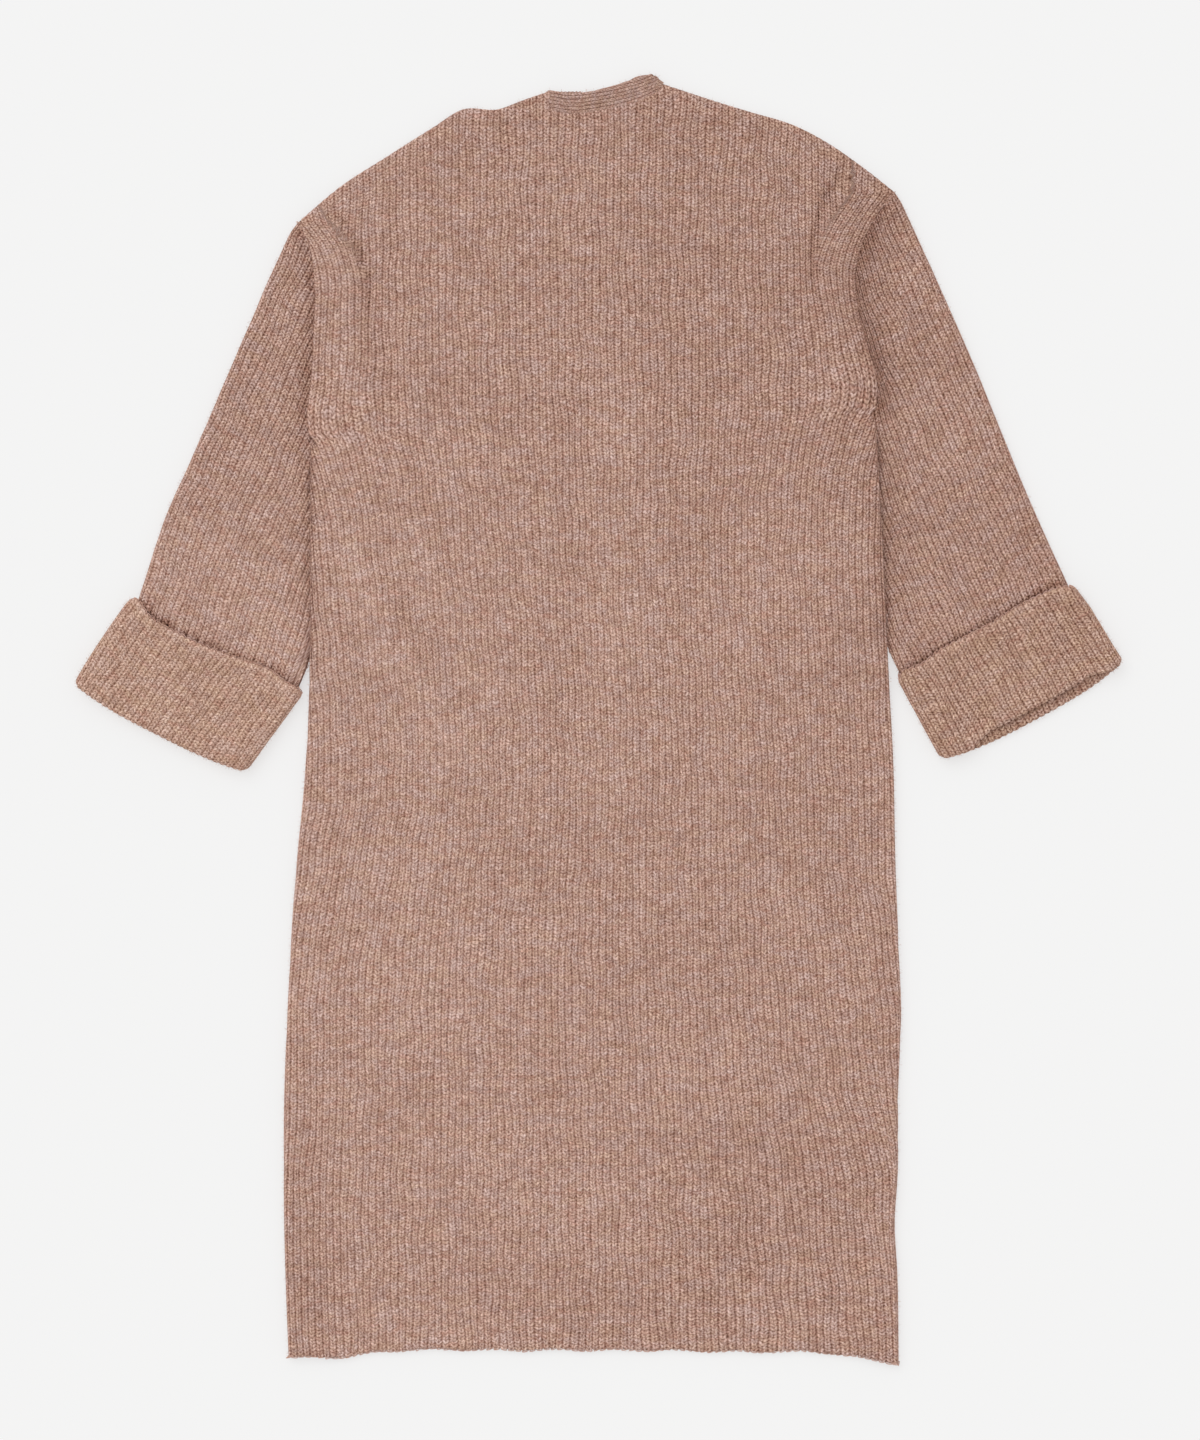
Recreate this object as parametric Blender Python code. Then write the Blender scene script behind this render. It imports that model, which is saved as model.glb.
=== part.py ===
"""Long open-front cardigan in heavy rib knit, laid flat with its back uppermost.

Every panel is a wall of knit of one thickness. The two fronts lie on the floor, wrap round the side
folds and meet the back at side seams that show on top. Each sleeve is a flattened tube that runs a
little way under the body's side and ends inside a cuff turned back over it. The neckband crosses the
back neck, and the two front bands run from it down the opening.

X runs across the garment, Y from hem to neck and Z up from the floor. The tables and the functions
that read them are in millimetres. A table that has a left and a right copy counts x outwards from the
middle, so that one function serves both sides.
"""

import math
from collections import namedtuple

import bpy
import numpy as np

MM = 0.001

# The knit
WALL = 3.0  # thickness of one layer
GAP = 0.6  # air between two layers that lie on each other
SEAM = 0.2  # each piece stops this far short of a seam line
OPEN = 2.0  # how much further apart the two layers stand at a soft fold than in the flat
FOLD_R = WALL + (GAP + OPEN) / 2  # outer radius of a fold round two layers
SOFT_REACH = 60.0  # the layers close up again this far in from a fold

# The body's side where a sleeve is tucked under it
LIFT = 9.0
TUCK_FLAT = 20.0  # the under layer is lifted in full this far in from the fold
TUCK_END = 70.0  # and lies on the floor from here
TENT_FLAT, TENT_END = 50.0, 135.0  # the same two places on the upper layer, which spans further

# The turned-back cuffs
CUFF_R = FOLD_R + GAP + WALL  # outer radius of the fold round all four layers
CUFF_RETURN = 15.0  # depth of the cuff's inner wall, up to its seam with the sleeve
CUFF_RAMP = 40.0  # the sleeve rises onto the cuff's under wall over this length

ARMHOLE_REACH = 0.5  # share of a sleeve's length over which the armhole seam's shape fades out
SAG_REACH = 0.2  # share of it over which the upper layer settles down from the seam
BAND_WIDTH = 30.0
HEM_RIPPLE, HEM_RIPPLE_LENGTH = 0.8, 52.0

# How finely each piece is divided
HEM_TO_TUCK_ROWS = 15
TUCK_ROWS = 4
ARMHOLE_ROWS = 8
FOLD_STEPS = 4
CUFF_FOLD_STEPS = 6
SLEEVE_STEPS = 11

YARN = (0.423, 0.262, 0.209)
YARN_ROUGHNESS = 0.95

Side = namedtuple("Side", "y edge seam")
Armhole = namedtuple("Armhole", "y x")
Shoulder = namedtuple("Shoulder", "x y")
Neck = namedtuple("Neck", "x y")
Tuck = namedtuple("Tuck", "foot low high")
SleeveRow = namedtuple("SleeveRow", "along outer_x outer_y inner_y tuck")
Cuff = namedtuple("Cuff", "top_outer top_inner hem_outer hem_inner bow")
Hem = namedtuple("Hem", "x y")
Band = namedtuple("Band", "y left_edge right_edge")
Ridge = namedtuple("Ridge", "x0 y0 x1 y1 height width")

# Side folds and the seams that lie on top of them, from hem to underarm
SIDES = {
    "left": [
        Side(-544, 265.5, 230.3),
        Side(-487, 267.8, 232.5),
        Side(-410, 269.7, 233.8),
        Side(-319, 269.2, 230.3),
        Side(-228, 265.6, 229.5),
        Side(-123, 258.8, 215.6),
        Side(-60, 252.6, 207.3),
        Side(60, 246.8, 213.2),
        Side(146, 246.4, 221.8),
        Side(186, 246.4, 226.5),
        Side(239, 247.0, 242.0),
    ],
    "right": [
        Side(-549, 255.6, 251.0),
        Side(-472, 254.3, 249.0),
        Side(-431, 252.1, 247.0),
        Side(-391, 254.6, 250.0),
        Side(-318, 255.1, 239.7),
        Side(-246, 257.6, 235.5),
        Side(-205, 256.0, 231.2),
        Side(-139, 253.4, 223.5),
        Side(-35, 251.2, 220.1),
        Side(71, 244.9, 215.0),
        Side(170, 240.2, 212.8),
        Side(220, 237.6, 217.0),
        Side(263, 235.8, 231.0),
    ],
}

# Armhole seams, from underarm to shoulder point
ARMHOLES = {
    "left": [
        Armhole(239, 247.4),
        Armhole(256, 250.0),
        Armhole(290, 246.8),
        Armhole(333, 244.6),
        Armhole(367, 243.4),
        Armhole(390, 244.9),
        Armhole(405, 247.6),
        Armhole(425, 258.2),
    ],
    "right": [
        Armhole(263, 236.2),
        Armhole(282, 238.0),
        Armhole(304, 234.6),
        Armhole(325, 228.0),
        Armhole(350, 221.8),
        Armhole(386, 219.6),
        Armhole(403, 223.6),
        Armhole(424, 233.0),
        Armhole(451, 252.4),
    ],
}

# Shoulder seams, from neck to shoulder point
SHOULDERS = {
    "left": [
        Shoulder(43.2, 537.6),
        Shoulder(65.4, 530.0),
        Shoulder(86.0, 522.4),
        Shoulder(118.4, 521.6),
        Shoulder(141.0, 507.6),
        Shoulder(180.8, 482.4),
        Shoulder(221.8, 455.8),
        Shoulder(258.2, 425.0),
    ],
    "right": [
        Shoulder(55.1, 543.6),
        Shoulder(86.0, 533.3),
        Shoulder(127.0, 520.5),
        Shoulder(168.0, 507.7),
        Shoulder(188.5, 497.4),
        Shoulder(229.5, 469.2),
        Shoulder(252.4, 451.0),
    ],
}

# Back neck: the seam under the neckband and the band's free edge, from left to right
NECK_SEAM = [
    Neck(-39.7, 521.4),
    Neck(-24.0, 518.9),
    Neck(-1.3, 521.2),
    Neck(16.7, 524.8),
    Neck(34.6, 529.9),
    Neck(43.5, 534.0),
    Neck(50.9, 538.5),
]
NECK_EDGE = [
    Neck(-42.4, 538.2),
    Neck(-21.8, 536.0),
    Neck(-1.3, 539.3),
    Neck(16.7, 543.6),
    Neck(34.6, 550.6),
    Neck(45.7, 551.8),
    Neck(55.0, 546.0),
]

# The hem, from left to right
HEM = [
    Hem(-266, -544.0),
    Hem(-225, -544.4),
    Hem(-190, -540.0),
    Hem(-60, -538.2),
    Hem(40, -538.2),
    Hem(120, -539.6),
    Hem(190, -540.4),
    Hem(222, -544.5),
    Hem(256, -550.0),
]

# Heights between which the body's side lies over the sleeve
TUCKS = {"left": Tuck(4, 47, 202), "right": Tuck(14, 58, 226)}

# Sleeves by length from armhole (0) to the cuff's free edge (1). The tuck is how far the inner fold
# lies under the body's side, below zero where it is clear of it.
SLEEVES = {
    "left": [
        SleeveRow(0.0, 258.2, 425.0, 239, -0.6),
        SleeveRow(0.16, 279.0, 384.0, 212, -0.6),
        SleeveRow(0.32, 299.5, 337.0, 182, 9.0),
        SleeveRow(0.5, 323.5, 282.0, 143, 15.0),
        SleeveRow(0.68, 347.0, 227.0, 102, 12.0),
        SleeveRow(0.86, 372.8, 168.6, 62, 1.0),
    ],
    "right": [
        SleeveRow(0.0, 252.4, 451.0, 263, -0.6),
        SleeveRow(0.16, 274.0, 406.0, 236, -0.6),
        SleeveRow(0.32, 295.5, 359.0, 204, 9.0),
        SleeveRow(0.5, 321.0, 301.0, 162, 15.0),
        SleeveRow(0.68, 345.2, 241.6, 118, 12.0),
        SleeveRow(0.86, 369.6, 183.0, 75, 3.0),
    ],
}

# Corners of the cuffs. The free edge is the one that lies on the sleeve, and the hem bows outwards.
CUFFS = {
    "left": Cuff((399.6, 105.4), (252.6, 23.4), (449.0, 31.0), (297.4, -45.5), 7.0),
    "right": Cuff((407.2, 117.6), (251.6, 39.5), (449.4, 48.6), (290.8, -33.6), 9.0),
}

# The front opening: the free edges of the two bands, from hem to neck
OPENING = [
    Band(-540, -56.0, -54.0),
    Band(-200, -47.0, -45.0),
    Band(190, -22.0, -20.0),
    Band(545, -15.0, 25.0),
]

# Soft ridges on the back, each along a straight line that fades at its ends
RIDGES = [
    Ridge(-213, 124, -136, -13, 3.0, 22),
    Ridge(-165, 150, -100, 30, 2.0, 20),
    Ridge(-224, 390, -205, 270, 2.5, 20),
    Ridge(205, 376, 198, 270, 2.2, 22),
    Ridge(20, 250, 5, -60, 1.4, 26),
]

SIGNS = {"left": -1, "right": 1}


def ease(t):
    """Smooth step from 0 to 1."""
    t = np.clip(t, 0.0, 1.0)
    return t * t * (3 - 2 * t)


def fall(distance, flat, end):
    """1 up to one distance from a fold, 0 beyond another."""
    return ease((end - distance) / (end - flat))


def curve(rows, along, across):
    """A smooth function through one column of a table, read along another."""
    rows = sorted(rows, key=lambda row: getattr(row, along))
    xs = np.array([getattr(row, along) for row in rows], float)
    ys = np.array([getattr(row, across) for row in rows], float)
    slopes = np.gradient(ys, xs)

    def at(x):
        i = int(np.clip(np.searchsorted(xs, x) - 1, 0, len(xs) - 2))
        step = xs[i + 1] - xs[i]
        t = float(np.clip((x - xs[i]) / step, 0, 1))
        rise = ys[i + 1] - ys[i]
        bend = slopes[i] * (t**3 - 2 * t**2 + t) + slopes[i + 1] * (t**3 - t**2)
        return ys[i] + rise * (3 * t**2 - 2 * t**3) + step * bend

    return at


def straight(rows, along, across):
    """The same with straight stretches from row to row."""
    rows = sorted(rows, key=lambda row: getattr(row, along))
    xs = [getattr(row, along) for row in rows]
    ys = [getattr(row, across) for row in rows]
    return lambda x: float(np.interp(x, xs, ys))


def mix(a, b, t):
    return np.asarray(a, float) * (1 - t) + np.asarray(b, float) * t


# ---------------------------------------------------------------------------------------------- body

EDGE = {side: curve(rows, "y", "edge") for side, rows in SIDES.items()}
SIDE_SEAM = {side: curve(rows, "y", "seam") for side, rows in SIDES.items()}
ARMHOLE = {side: curve(rows, "y", "x") for side, rows in ARMHOLES.items()}
SHOULDER = {side: curve(rows, "x", "y") for side, rows in SHOULDERS.items()}
HEM_LINE = curve(HEM, "x", "y")
OPENING_EDGE = {
    "left": straight(OPENING, "y", "left_edge"),
    "right": straight(OPENING, "y", "right_edge"),
}
UNDERARM_ROW = HEM_TO_TUCK_ROWS + 1 + TUCK_ROWS + 1
LAST_ROW = UNDERARM_ROW + ARMHOLE_ROWS


def row_heights(side):
    """The y of each row of the body where it meets the side fold or the armhole seam."""
    tuck = TUCKS[side]
    hem = SIDES[side][0].y
    underarm = ARMHOLES[side][0].y
    shoulder = ARMHOLES[side][-1].y
    return np.concatenate(
        [
            np.linspace(hem, tuck.foot, HEM_TO_TUCK_ROWS + 1),
            np.linspace(tuck.low, tuck.high, TUCK_ROWS + 1),
            np.linspace(underarm, shoulder, ARMHOLE_ROWS + 1),
        ]
    )


ROWS = {side: row_heights(side) for side in SIDES}


def hem_y(x):
    return HEM_LINE(x) + HEM_RIPPLE * math.sin(2 * math.pi * x / HEM_RIPPLE_LENGTH)


def tuck_lift(side, y):
    """How far the body's side is lifted by the sleeve under it."""
    tuck = TUCKS[side]
    underarm = ARMHOLES[side][0].y
    up = np.interp(y, [tuck.foot, tuck.low], [0, 1])
    down = np.interp(y, [tuck.high, underarm], [1, 0])
    return LIFT * float(up * down)


def outline_x(side, y):
    """The body's outermost x: the side fold, or above the underarm the armhole seam."""
    return EDGE[side](y) if y < ARMHOLES[side][0].y else ARMHOLE[side](y)


def ridge_rise(x, y):
    rise = 0.0
    for ridge in RIDGES:
        start = np.array([ridge.x0, ridge.y0], float)
        line = np.array([ridge.x1, ridge.y1]) - start
        t = np.clip(np.dot(np.array([x, y]) - start, line) / np.dot(line, line), 0, 1)
        distance = np.linalg.norm(np.array([x, y]) - start - t * line)
        rise += ridge.height * math.exp(-((distance / ridge.width) ** 2))
    return rise


def upper_z(x, y):
    """Underside of the upper layer of the body."""
    z = WALL + GAP + ridge_rise(x, y)
    for side, sign in SIGNS.items():
        inset = outline_x(side, y) - sign * x
        z += OPEN * fall(inset, 2 * FOLD_R, SOFT_REACH)
        z += tuck_lift(side, y) * fall(inset, TENT_FLAT, TENT_END)
    return z


def under_z(side, x, y):
    """Underside of a front where it lies on the floor or on a sleeve."""
    inset = outline_x(side, y) - SIGNS[side] * x
    return tuck_lift(side, y) * float(np.interp(inset, [TUCK_FLAT, TUCK_END], [1, 0]))


def arch(row):
    """Share of the shoulder line's shape that a row takes on: none up to the underarm, all at the top."""
    return max(0.0, (row - UNDERARM_ROW) / ARMHOLE_ROWS)


def back_top_line():
    """The back's upper edge from the left shoulder point to the right one, with the neck between."""
    shoulders = {
        side: [(SIGNS[side] * row.x, row.y) for row in rows] for side, rows in SHOULDERS.items()
    }
    neck = [(row.x, row.y) for row in NECK_SEAM]
    return shoulders["left"][::-1] + neck + shoulders["right"]


def back_outline(side, row):
    """Where a row of the back ends: at the side seam, or above the underarm at the armhole seam."""
    y = ROWS[side][row]
    if row < UNDERARM_ROW:
        x = min(SIDE_SEAM[side](y), EDGE[side](y) - FOLD_R)
    elif row == UNDERARM_ROW:
        x = EDGE[side](y) - FOLD_R
    else:
        x = ARMHOLE[side](y)
    return SIGNS[side] * (x - SEAM), y


def back():
    top = back_top_line()
    across = [(x - top[0][0]) / (top[-1][0] - top[0][0]) for x, _ in top]
    upper, lower = [], []
    for row in range(LAST_ROW + 1):
        left, right = back_outline("left", row), back_outline("right", row)
        line = []
        for u, (_, top_y) in zip(across, top):
            x, y = mix(left, right, u)
            y += arch(row) * (top_y - mix(top[0][1], top[-1][1], u))
            if row == 0:
                y = hem_y(x)
            line.append((x, y, upper_z(x, y)))
        lower.append(line)
        upper.append([(x, y, z + WALL) for x, y, z in line])
    return wall("back", upper, lower)


def front(side):
    """A front: from the side seam on top, round the side fold, to the seam with its band."""
    sign = SIGNS[side]
    heights = ROWS[side]
    neck = SHOULDERS[side][0]
    outer, inner = [], []
    for row in range(LAST_ROW + 1):
        y = heights[row]
        share = (y - heights[0]) / (heights[-1] - heights[0])
        seam = band_seam(side, mix(heights[0], neck.y, share))
        if row <= UNDERARM_ROW:
            points = wrap(side, y, row == UNDERARM_ROW)
            first = EDGE[side](y) - FOLD_R
        else:
            first = ARMHOLE[side](y) - SEAM
            flat = np.linspace(first, outline_x(side, y) - TUCK_FLAT, FOLD_STEPS + 4)[:-1]
            points = [(x, y, 0.0, -1.0, 0.0) for x in flat]
        reach = [outline_x(side, y) - inset for inset in (TUCK_FLAT, TUCK_END)]
        reach += list(np.linspace(reach[-1], sign * seam[0], 4)[1:])
        for x in reach:
            t = max(0.0, (reach[1] - x) / (reach[1] - sign * seam[0]))
            line_y = mix(y, seam[1], t)
            line_y += arch(row) * (shoulder_y(side, x) - mix(heights[-1], neck.y, t))
            points.append((x, line_y, 0.0, -1.0, under_z(side, sign * x, line_y)))
        outer.append([])
        inner.append([])
        for x, line_y, nx, nz, z in points:
            if row == 0:
                line_y = hem_y(sign * x)
            outer[-1].append((sign * x, line_y, z))
            inner[-1].append((sign * (x - WALL * nx), line_y, z - WALL * nz))
    upper, lower = (inner, outer) if side == "left" else (outer, inner)
    return wall("front_" + side, upper, lower)


def wrap(side, y, at_underarm):
    """A front's outer face on top of the body and round the side fold: x, y, the normal's x and z, z.

    At the underarm the front starts half-way round the fold.
    """
    centre = EDGE[side](y) - FOLD_R
    seam = min(SIDE_SEAM[side](y) + SEAM, centre - SEAM)
    steps = FOLD_STEPS + 2 if at_underarm else FOLD_STEPS
    start = 0.0 if at_underarm else math.pi / 2
    points = []
    if not at_underarm:
        for x in (seam, (seam + centre) / 2):
            points.append((x, y, 0.0, 1.0, upper_z(SIGNS[side] * x, y) + WALL))
    for step in range(steps + 1):
        angle = start - (start + math.pi / 2) * step / steps
        z = tuck_lift(side, y) + FOLD_R * (1 + math.sin(angle))
        points.append((centre + FOLD_R * math.cos(angle), y, math.cos(angle), math.sin(angle), z))
    return points


def shoulder_y(side, x):
    rows = SHOULDERS[side]
    return SHOULDER[side](float(np.clip(x, rows[0].x, rows[-1].x)))


def band_seam(side, y):
    """Where a front meets its band."""
    sign = SIGNS[side]
    return OPENING_EDGE[side](y) + sign * (BAND_WIDTH + SEAM), y


# --------------------------------------------------------------------------------------------- bands


def front_band(side):
    sign = SIGNS[side]
    heights = ROWS[side]
    upper, lower = [], []
    for row in range(LAST_ROW + 1):
        share = (heights[row] - heights[0]) / (heights[-1] - heights[0])
        y = mix(heights[0], SHOULDERS[side][0].y, share)
        edge = OPENING_EDGE[side](y)
        xs = sorted([edge, edge + sign * (BAND_WIDTH - SEAM)])
        line = [(x, hem_y(x) if row == 0 else y) for x in xs]
        lower.append([(x, line_y, 0.0) for x, line_y in line])
        upper.append([(x, line_y, WALL) for x, line_y in line])
    return wall("band_" + side, upper, lower)


def neckband():
    """The band across the back neck, a little above its seam."""
    seam = [(row.x, row.y + 2 * SEAM) for row in NECK_SEAM]
    seam[0] = (seam[0][0] + 2 * SEAM, seam[0][1])
    edge = [(row.x, row.y) for row in NECK_EDGE]
    lower = []
    for t in (0.0, 0.5, 1.0):
        lower.append([(*mix(a, b, t), WALL + GAP) for a, b in zip(seam, edge)])
    upper = [[(x, y, z + WALL) for x, y, z in line] for line in lower]
    return wall("neckband", upper, lower)


# ------------------------------------------------------------------------------------ sleeves, cuffs


def bow(w):
    return 1 - abs(2 * w - 1) ** 3


def cuff_middle(side):
    """The middles of the cuff's free edge and of its hem."""
    cuff = CUFFS[side]
    return mix(cuff.top_outer, cuff.top_inner, 0.5), mix(cuff.hem_outer, cuff.hem_inner, 0.5)


def cuff_length(side):
    top, hem = cuff_middle(side)
    return np.linalg.norm(hem - top)


def cuff_line(side, up):
    """The cuff's width at a distance up from its hem, from inner to outer side, in outward x and y."""
    cuff = CUFFS[side]
    top, hem = cuff_middle(side)
    length = cuff_length(side)
    t = up / length
    inner = mix(cuff.hem_inner, cuff.top_inner, t)
    outer = mix(cuff.hem_outer, cuff.top_outer, t)
    down = (hem - top) / length * cuff.bow * (1 - t)
    return [mix(inner, outer, w) + down * bow(w) for w in sleeve_shares()]


def sleeve_shares():
    """Shares of a sleeve's width at which it has points, one for each row of the body's armhole."""
    return [i / ARMHOLE_ROWS for i in range(ARMHOLE_ROWS + 1)]


def inset_line(line, amount):
    """The same line with both its ends drawn in."""
    line = [np.array(point) for point in line]
    head = line[1] - line[0]
    tail = line[-2] - line[-1]
    line[0] = line[0] + head / np.linalg.norm(head) * amount
    line[-1] = line[-1] + tail / np.linalg.norm(tail) * amount
    return line


def sleeve_line(side, along):
    """The sleeve's width at a share of its length, from the inner fold to the outer one."""
    rows = SLEEVES[side]
    cuff_top = inset_line(cuff_line(side, cuff_length(side)), CUFF_R - FOLD_R)
    ends = rows + [SleeveRow(1.0, *cuff_top[-1], cuff_top[0][1], 0)]
    outer = [curve(ends, "along", column)(along) for column in ("outer_x", "outer_y")]
    inner_y = curve(ends, "along", "inner_y")(along)
    last = rows[-1]
    if along <= last.along:
        inner_x = EDGE[side](inner_y) - curve(rows, "along", "tuck")(along)
    else:
        t = (along - last.along) / (1 - last.along)
        inner_x = mix(EDGE[side](last.inner_y) - last.tuck, cuff_top[0][0], t)
    seam = [(ARMHOLE[side](y) + 2 * SEAM, y) for y in ROWS[side][UNDERARM_ROW:]]
    fade = max(0.0, 1 - along / ARMHOLE_REACH)
    line = []
    for w, point in zip(sleeve_shares(), seam):
        curl = np.array(point) - mix(seam[0], seam[-1], w)
        line.append(mix((inner_x, inner_y), outer, w) + fade * curl)
    return line


def ring(side, line, radius, height, sag=1.0):
    """A flattened ring of one radius round a line, whose middle lies at a height."""
    line = inset_line(line, FOLD_R if radius <= FOLD_R else CUFF_R)
    width = np.linalg.norm(line[-1] - line[0])
    upper = []
    for i, point in enumerate(line):
        inset = min(i, len(line) - 1 - i) * width / (len(line) - 1)
        drop = OPEN * sag * (1 - fall(inset, 0.0, SOFT_REACH / 2))
        upper.append((*point, height + radius - drop))
    under = [(*point, height - radius) for point in line[::-1]]
    outer_fold = fold(line[-1], line[-1] - line[-2], radius, height, 1)
    inner_fold = fold(line[0], line[0] - line[1], radius, height, -1)
    return [(SIGNS[side] * x, y, z) for x, y, z in upper + outer_fold + under + inner_fold]


def fold(centre, way, radius, height, down):
    """The points between the ends of a half circle that bulges a way, run down or up."""
    way = way / np.linalg.norm(way)
    points = []
    for step in range(1, FOLD_STEPS):
        angle = down * (math.pi / 2 - math.pi * step / FOLD_STEPS)
        spot = centre + way * radius * math.cos(angle)
        points.append((*spot, height + radius * math.sin(angle)))
    return points


def sleeve(side):
    inside = FOLD_R - WALL
    start, end = sleeve_line(side, 0.0), sleeve_line(side, 1.0)
    length = np.linalg.norm(mix(end[0], end[-1], 0.5) - mix(start[0], start[-1], 0.5))
    outer, inner = [], []
    for step in range(SLEEVE_STEPS + 1):
        along = step / SLEEVE_STEPS
        line = sleeve_line(side, along)
        height = FOLD_R + (CUFF_R - FOLD_R) * ease(1 - (1 - along) * length / CUFF_RAMP)
        sag = ease(along / SAG_REACH)
        outer.append(ring(side, line, FOLD_R, height, sag))
        inner.append(ring(side, line, inside, height, sag))
    sleeve_end = FOLD_R + CUFF_RETURN + GAP
    for up in (mix(sleeve_end, cuff_length(side), 0.5), sleeve_end):
        line = inset_line(cuff_line(side, up), CUFF_R - FOLD_R)
        outer.append(ring(side, line, FOLD_R, CUFF_R))
        inner.append(ring(side, line, inside, CUFF_R))
    return torus("sleeve_" + side, outer + inner[::-1], SIGNS[side])


def cuff(side):
    """A wall that runs from its free edge down to the hem, turns round it and ends inside."""
    length = cuff_length(side)
    middle = FOLD_R + GAP / 2
    outside = CUFF_R - middle
    inside = outside - WALL
    profile = [(up, CUFF_R) for up in np.linspace(length, outside, 4)]
    for step in range(1, CUFF_FOLD_STEPS):
        angle = math.pi / 2 - math.pi * step / CUFF_FOLD_STEPS
        profile.append((outside - outside * math.cos(angle), middle + outside * math.sin(angle)))
    profile.append((outside, FOLD_R - WALL))
    profile.append((outside + CUFF_RETURN, FOLD_R - WALL))
    profile.append((outside + CUFF_RETURN, FOLD_R))
    profile.append((outside, FOLD_R))
    profile.append((outside - inside, middle))
    profile += [(up, CUFF_R - WALL) for up in np.linspace(outside, length, 3)]
    rings = []
    for up, radius in profile:
        line = inset_line(cuff_line(side, up), 0 if radius > FOLD_R else CUFF_R - FOLD_R)
        rings.append(ring(side, line, radius, CUFF_R))
    return torus("cuff_" + side, rings, SIGNS[side])


# ------------------------------------------------------------------------------------------ meshes


def knit(name):
    material = bpy.data.materials.new(name + "_knit")
    material.use_nodes = True
    shader = material.node_tree.nodes["Principled BSDF"]
    shader.inputs["Base Color"].default_value = (*YARN, 1.0)
    shader.inputs["Roughness"].default_value = YARN_ROUGHNESS
    shader.inputs["Metallic"].default_value = 0.0
    return material


def make(name, points, faces):
    mesh = bpy.data.meshes.new(name)
    mesh.from_pydata([tuple(float(v) * MM for v in point) for point in points], [], faces)
    mesh.validate()
    obj = bpy.data.objects.new(name, mesh)
    bpy.context.scene.collection.objects.link(obj)
    mesh.materials.append(knit(name))
    mesh.shade_smooth()
    mesh.set_sharp_from_angle(angle=math.radians(50))
    return obj


def wall(name, upper, lower):
    """A closed wall between two grids of points, the first of which faces up."""
    rows, columns = len(upper), len(upper[0])
    points = [point for line in upper + lower for point in line]
    under = rows * columns

    def at(row, column):
        return row * columns + column

    faces = []
    for row in range(rows - 1):
        for column in range(columns - 1):
            quad = [at(row, column), at(row, column + 1)]
            quad += [at(row + 1, column + 1), at(row + 1, column)]
            faces.append(quad)
            faces.append([under + i for i in quad[::-1]])
    rim = [at(0, c) for c in range(columns)]
    rim += [at(r, columns - 1) for r in range(1, rows)]
    rim += [at(rows - 1, c) for c in range(columns - 2, -1, -1)]
    rim += [at(r, 0) for r in range(rows - 2, 0, -1)]
    for a, b in zip(rim, rim[1:] + rim[:1]):
        faces.append([b, a, under + a, under + b])
    return make(name, points, faces)


def torus(name, rings, turn):
    """A closed wall through rings of points, the last of which joins the first."""
    count = len(rings[0])
    points = [point for loop in rings for point in loop]
    faces = []
    for i in range(len(rings)):
        here, there = i * count, (i + 1) % len(rings) * count
        for j in range(count):
            k = (j + 1) % count
            quad = [here + j, here + k, there + k, there + j]
            faces.append(quad[::-1] if turn > 0 else quad)
    return make(name, points, faces)


def centre(pieces):
    """Moves the whole garment so that the origin is under the middle of its box, on the floor."""
    points = np.concatenate(
        [[tuple(vertex.co) for vertex in piece.data.vertices] for piece in pieces]
    )
    low, high = points.min(axis=0), points.max(axis=0)
    shift = np.array([-(low[0] + high[0]) / 2, -(low[1] + high[1]) / 2, -low[2]])
    for piece in pieces:
        for vertex in piece.data.vertices:
            vertex.co = np.array(vertex.co) + shift


def main():
    for obj in list(bpy.data.objects):
        bpy.data.objects.remove(obj, do_unlink=True)
    pieces = [back(), neckband()]
    for side in SIGNS:
        pieces += [front(side), front_band(side), sleeve(side), cuff(side)]
    centre(pieces)


main()
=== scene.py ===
"""Long open cardigan in melange rib knit, laid flat with its back uppermost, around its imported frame.

Every panel of the cardigan is a closed thin shell of knit over its solid. The outer face of a shell is
a fine grid that follows the wales of the knit and carries the ribs; its inner face is a coarse one. The
UV map of a panel counts wales across and courses along, and the stitches and the melange yarn in the
materials follow it.

The tables and the functions that read them are in millimetres, as in the part's own source, with x
counted outwards from the middle where a table has a left and a right copy.
"""

import math
from collections import namedtuple

import bpy
import numpy as np
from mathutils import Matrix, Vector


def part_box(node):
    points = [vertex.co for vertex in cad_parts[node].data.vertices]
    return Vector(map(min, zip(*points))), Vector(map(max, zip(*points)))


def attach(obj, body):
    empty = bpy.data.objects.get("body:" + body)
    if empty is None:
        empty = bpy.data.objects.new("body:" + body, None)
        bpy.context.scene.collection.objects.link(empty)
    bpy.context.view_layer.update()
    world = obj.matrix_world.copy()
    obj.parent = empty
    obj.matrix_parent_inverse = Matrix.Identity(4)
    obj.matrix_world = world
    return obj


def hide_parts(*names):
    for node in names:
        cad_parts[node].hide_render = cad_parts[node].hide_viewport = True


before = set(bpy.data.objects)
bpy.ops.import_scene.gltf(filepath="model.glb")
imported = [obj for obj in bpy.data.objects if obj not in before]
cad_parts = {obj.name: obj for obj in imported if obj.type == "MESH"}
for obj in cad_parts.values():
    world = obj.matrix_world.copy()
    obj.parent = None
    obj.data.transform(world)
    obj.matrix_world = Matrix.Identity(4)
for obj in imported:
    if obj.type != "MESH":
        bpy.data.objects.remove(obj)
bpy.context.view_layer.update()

bl_info = {
    "name": "Rib-knit cardigan",
    "version": (1, 0, 0),
    "blender": (4, 5, 0),
    "location": "3D View > Sidebar > Cardigan",
    "description": "Builds the knitted panels of a long cardigan laid flat, around its packed frame",
    "category": "Add Mesh",
}

MM = 0.001

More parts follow.
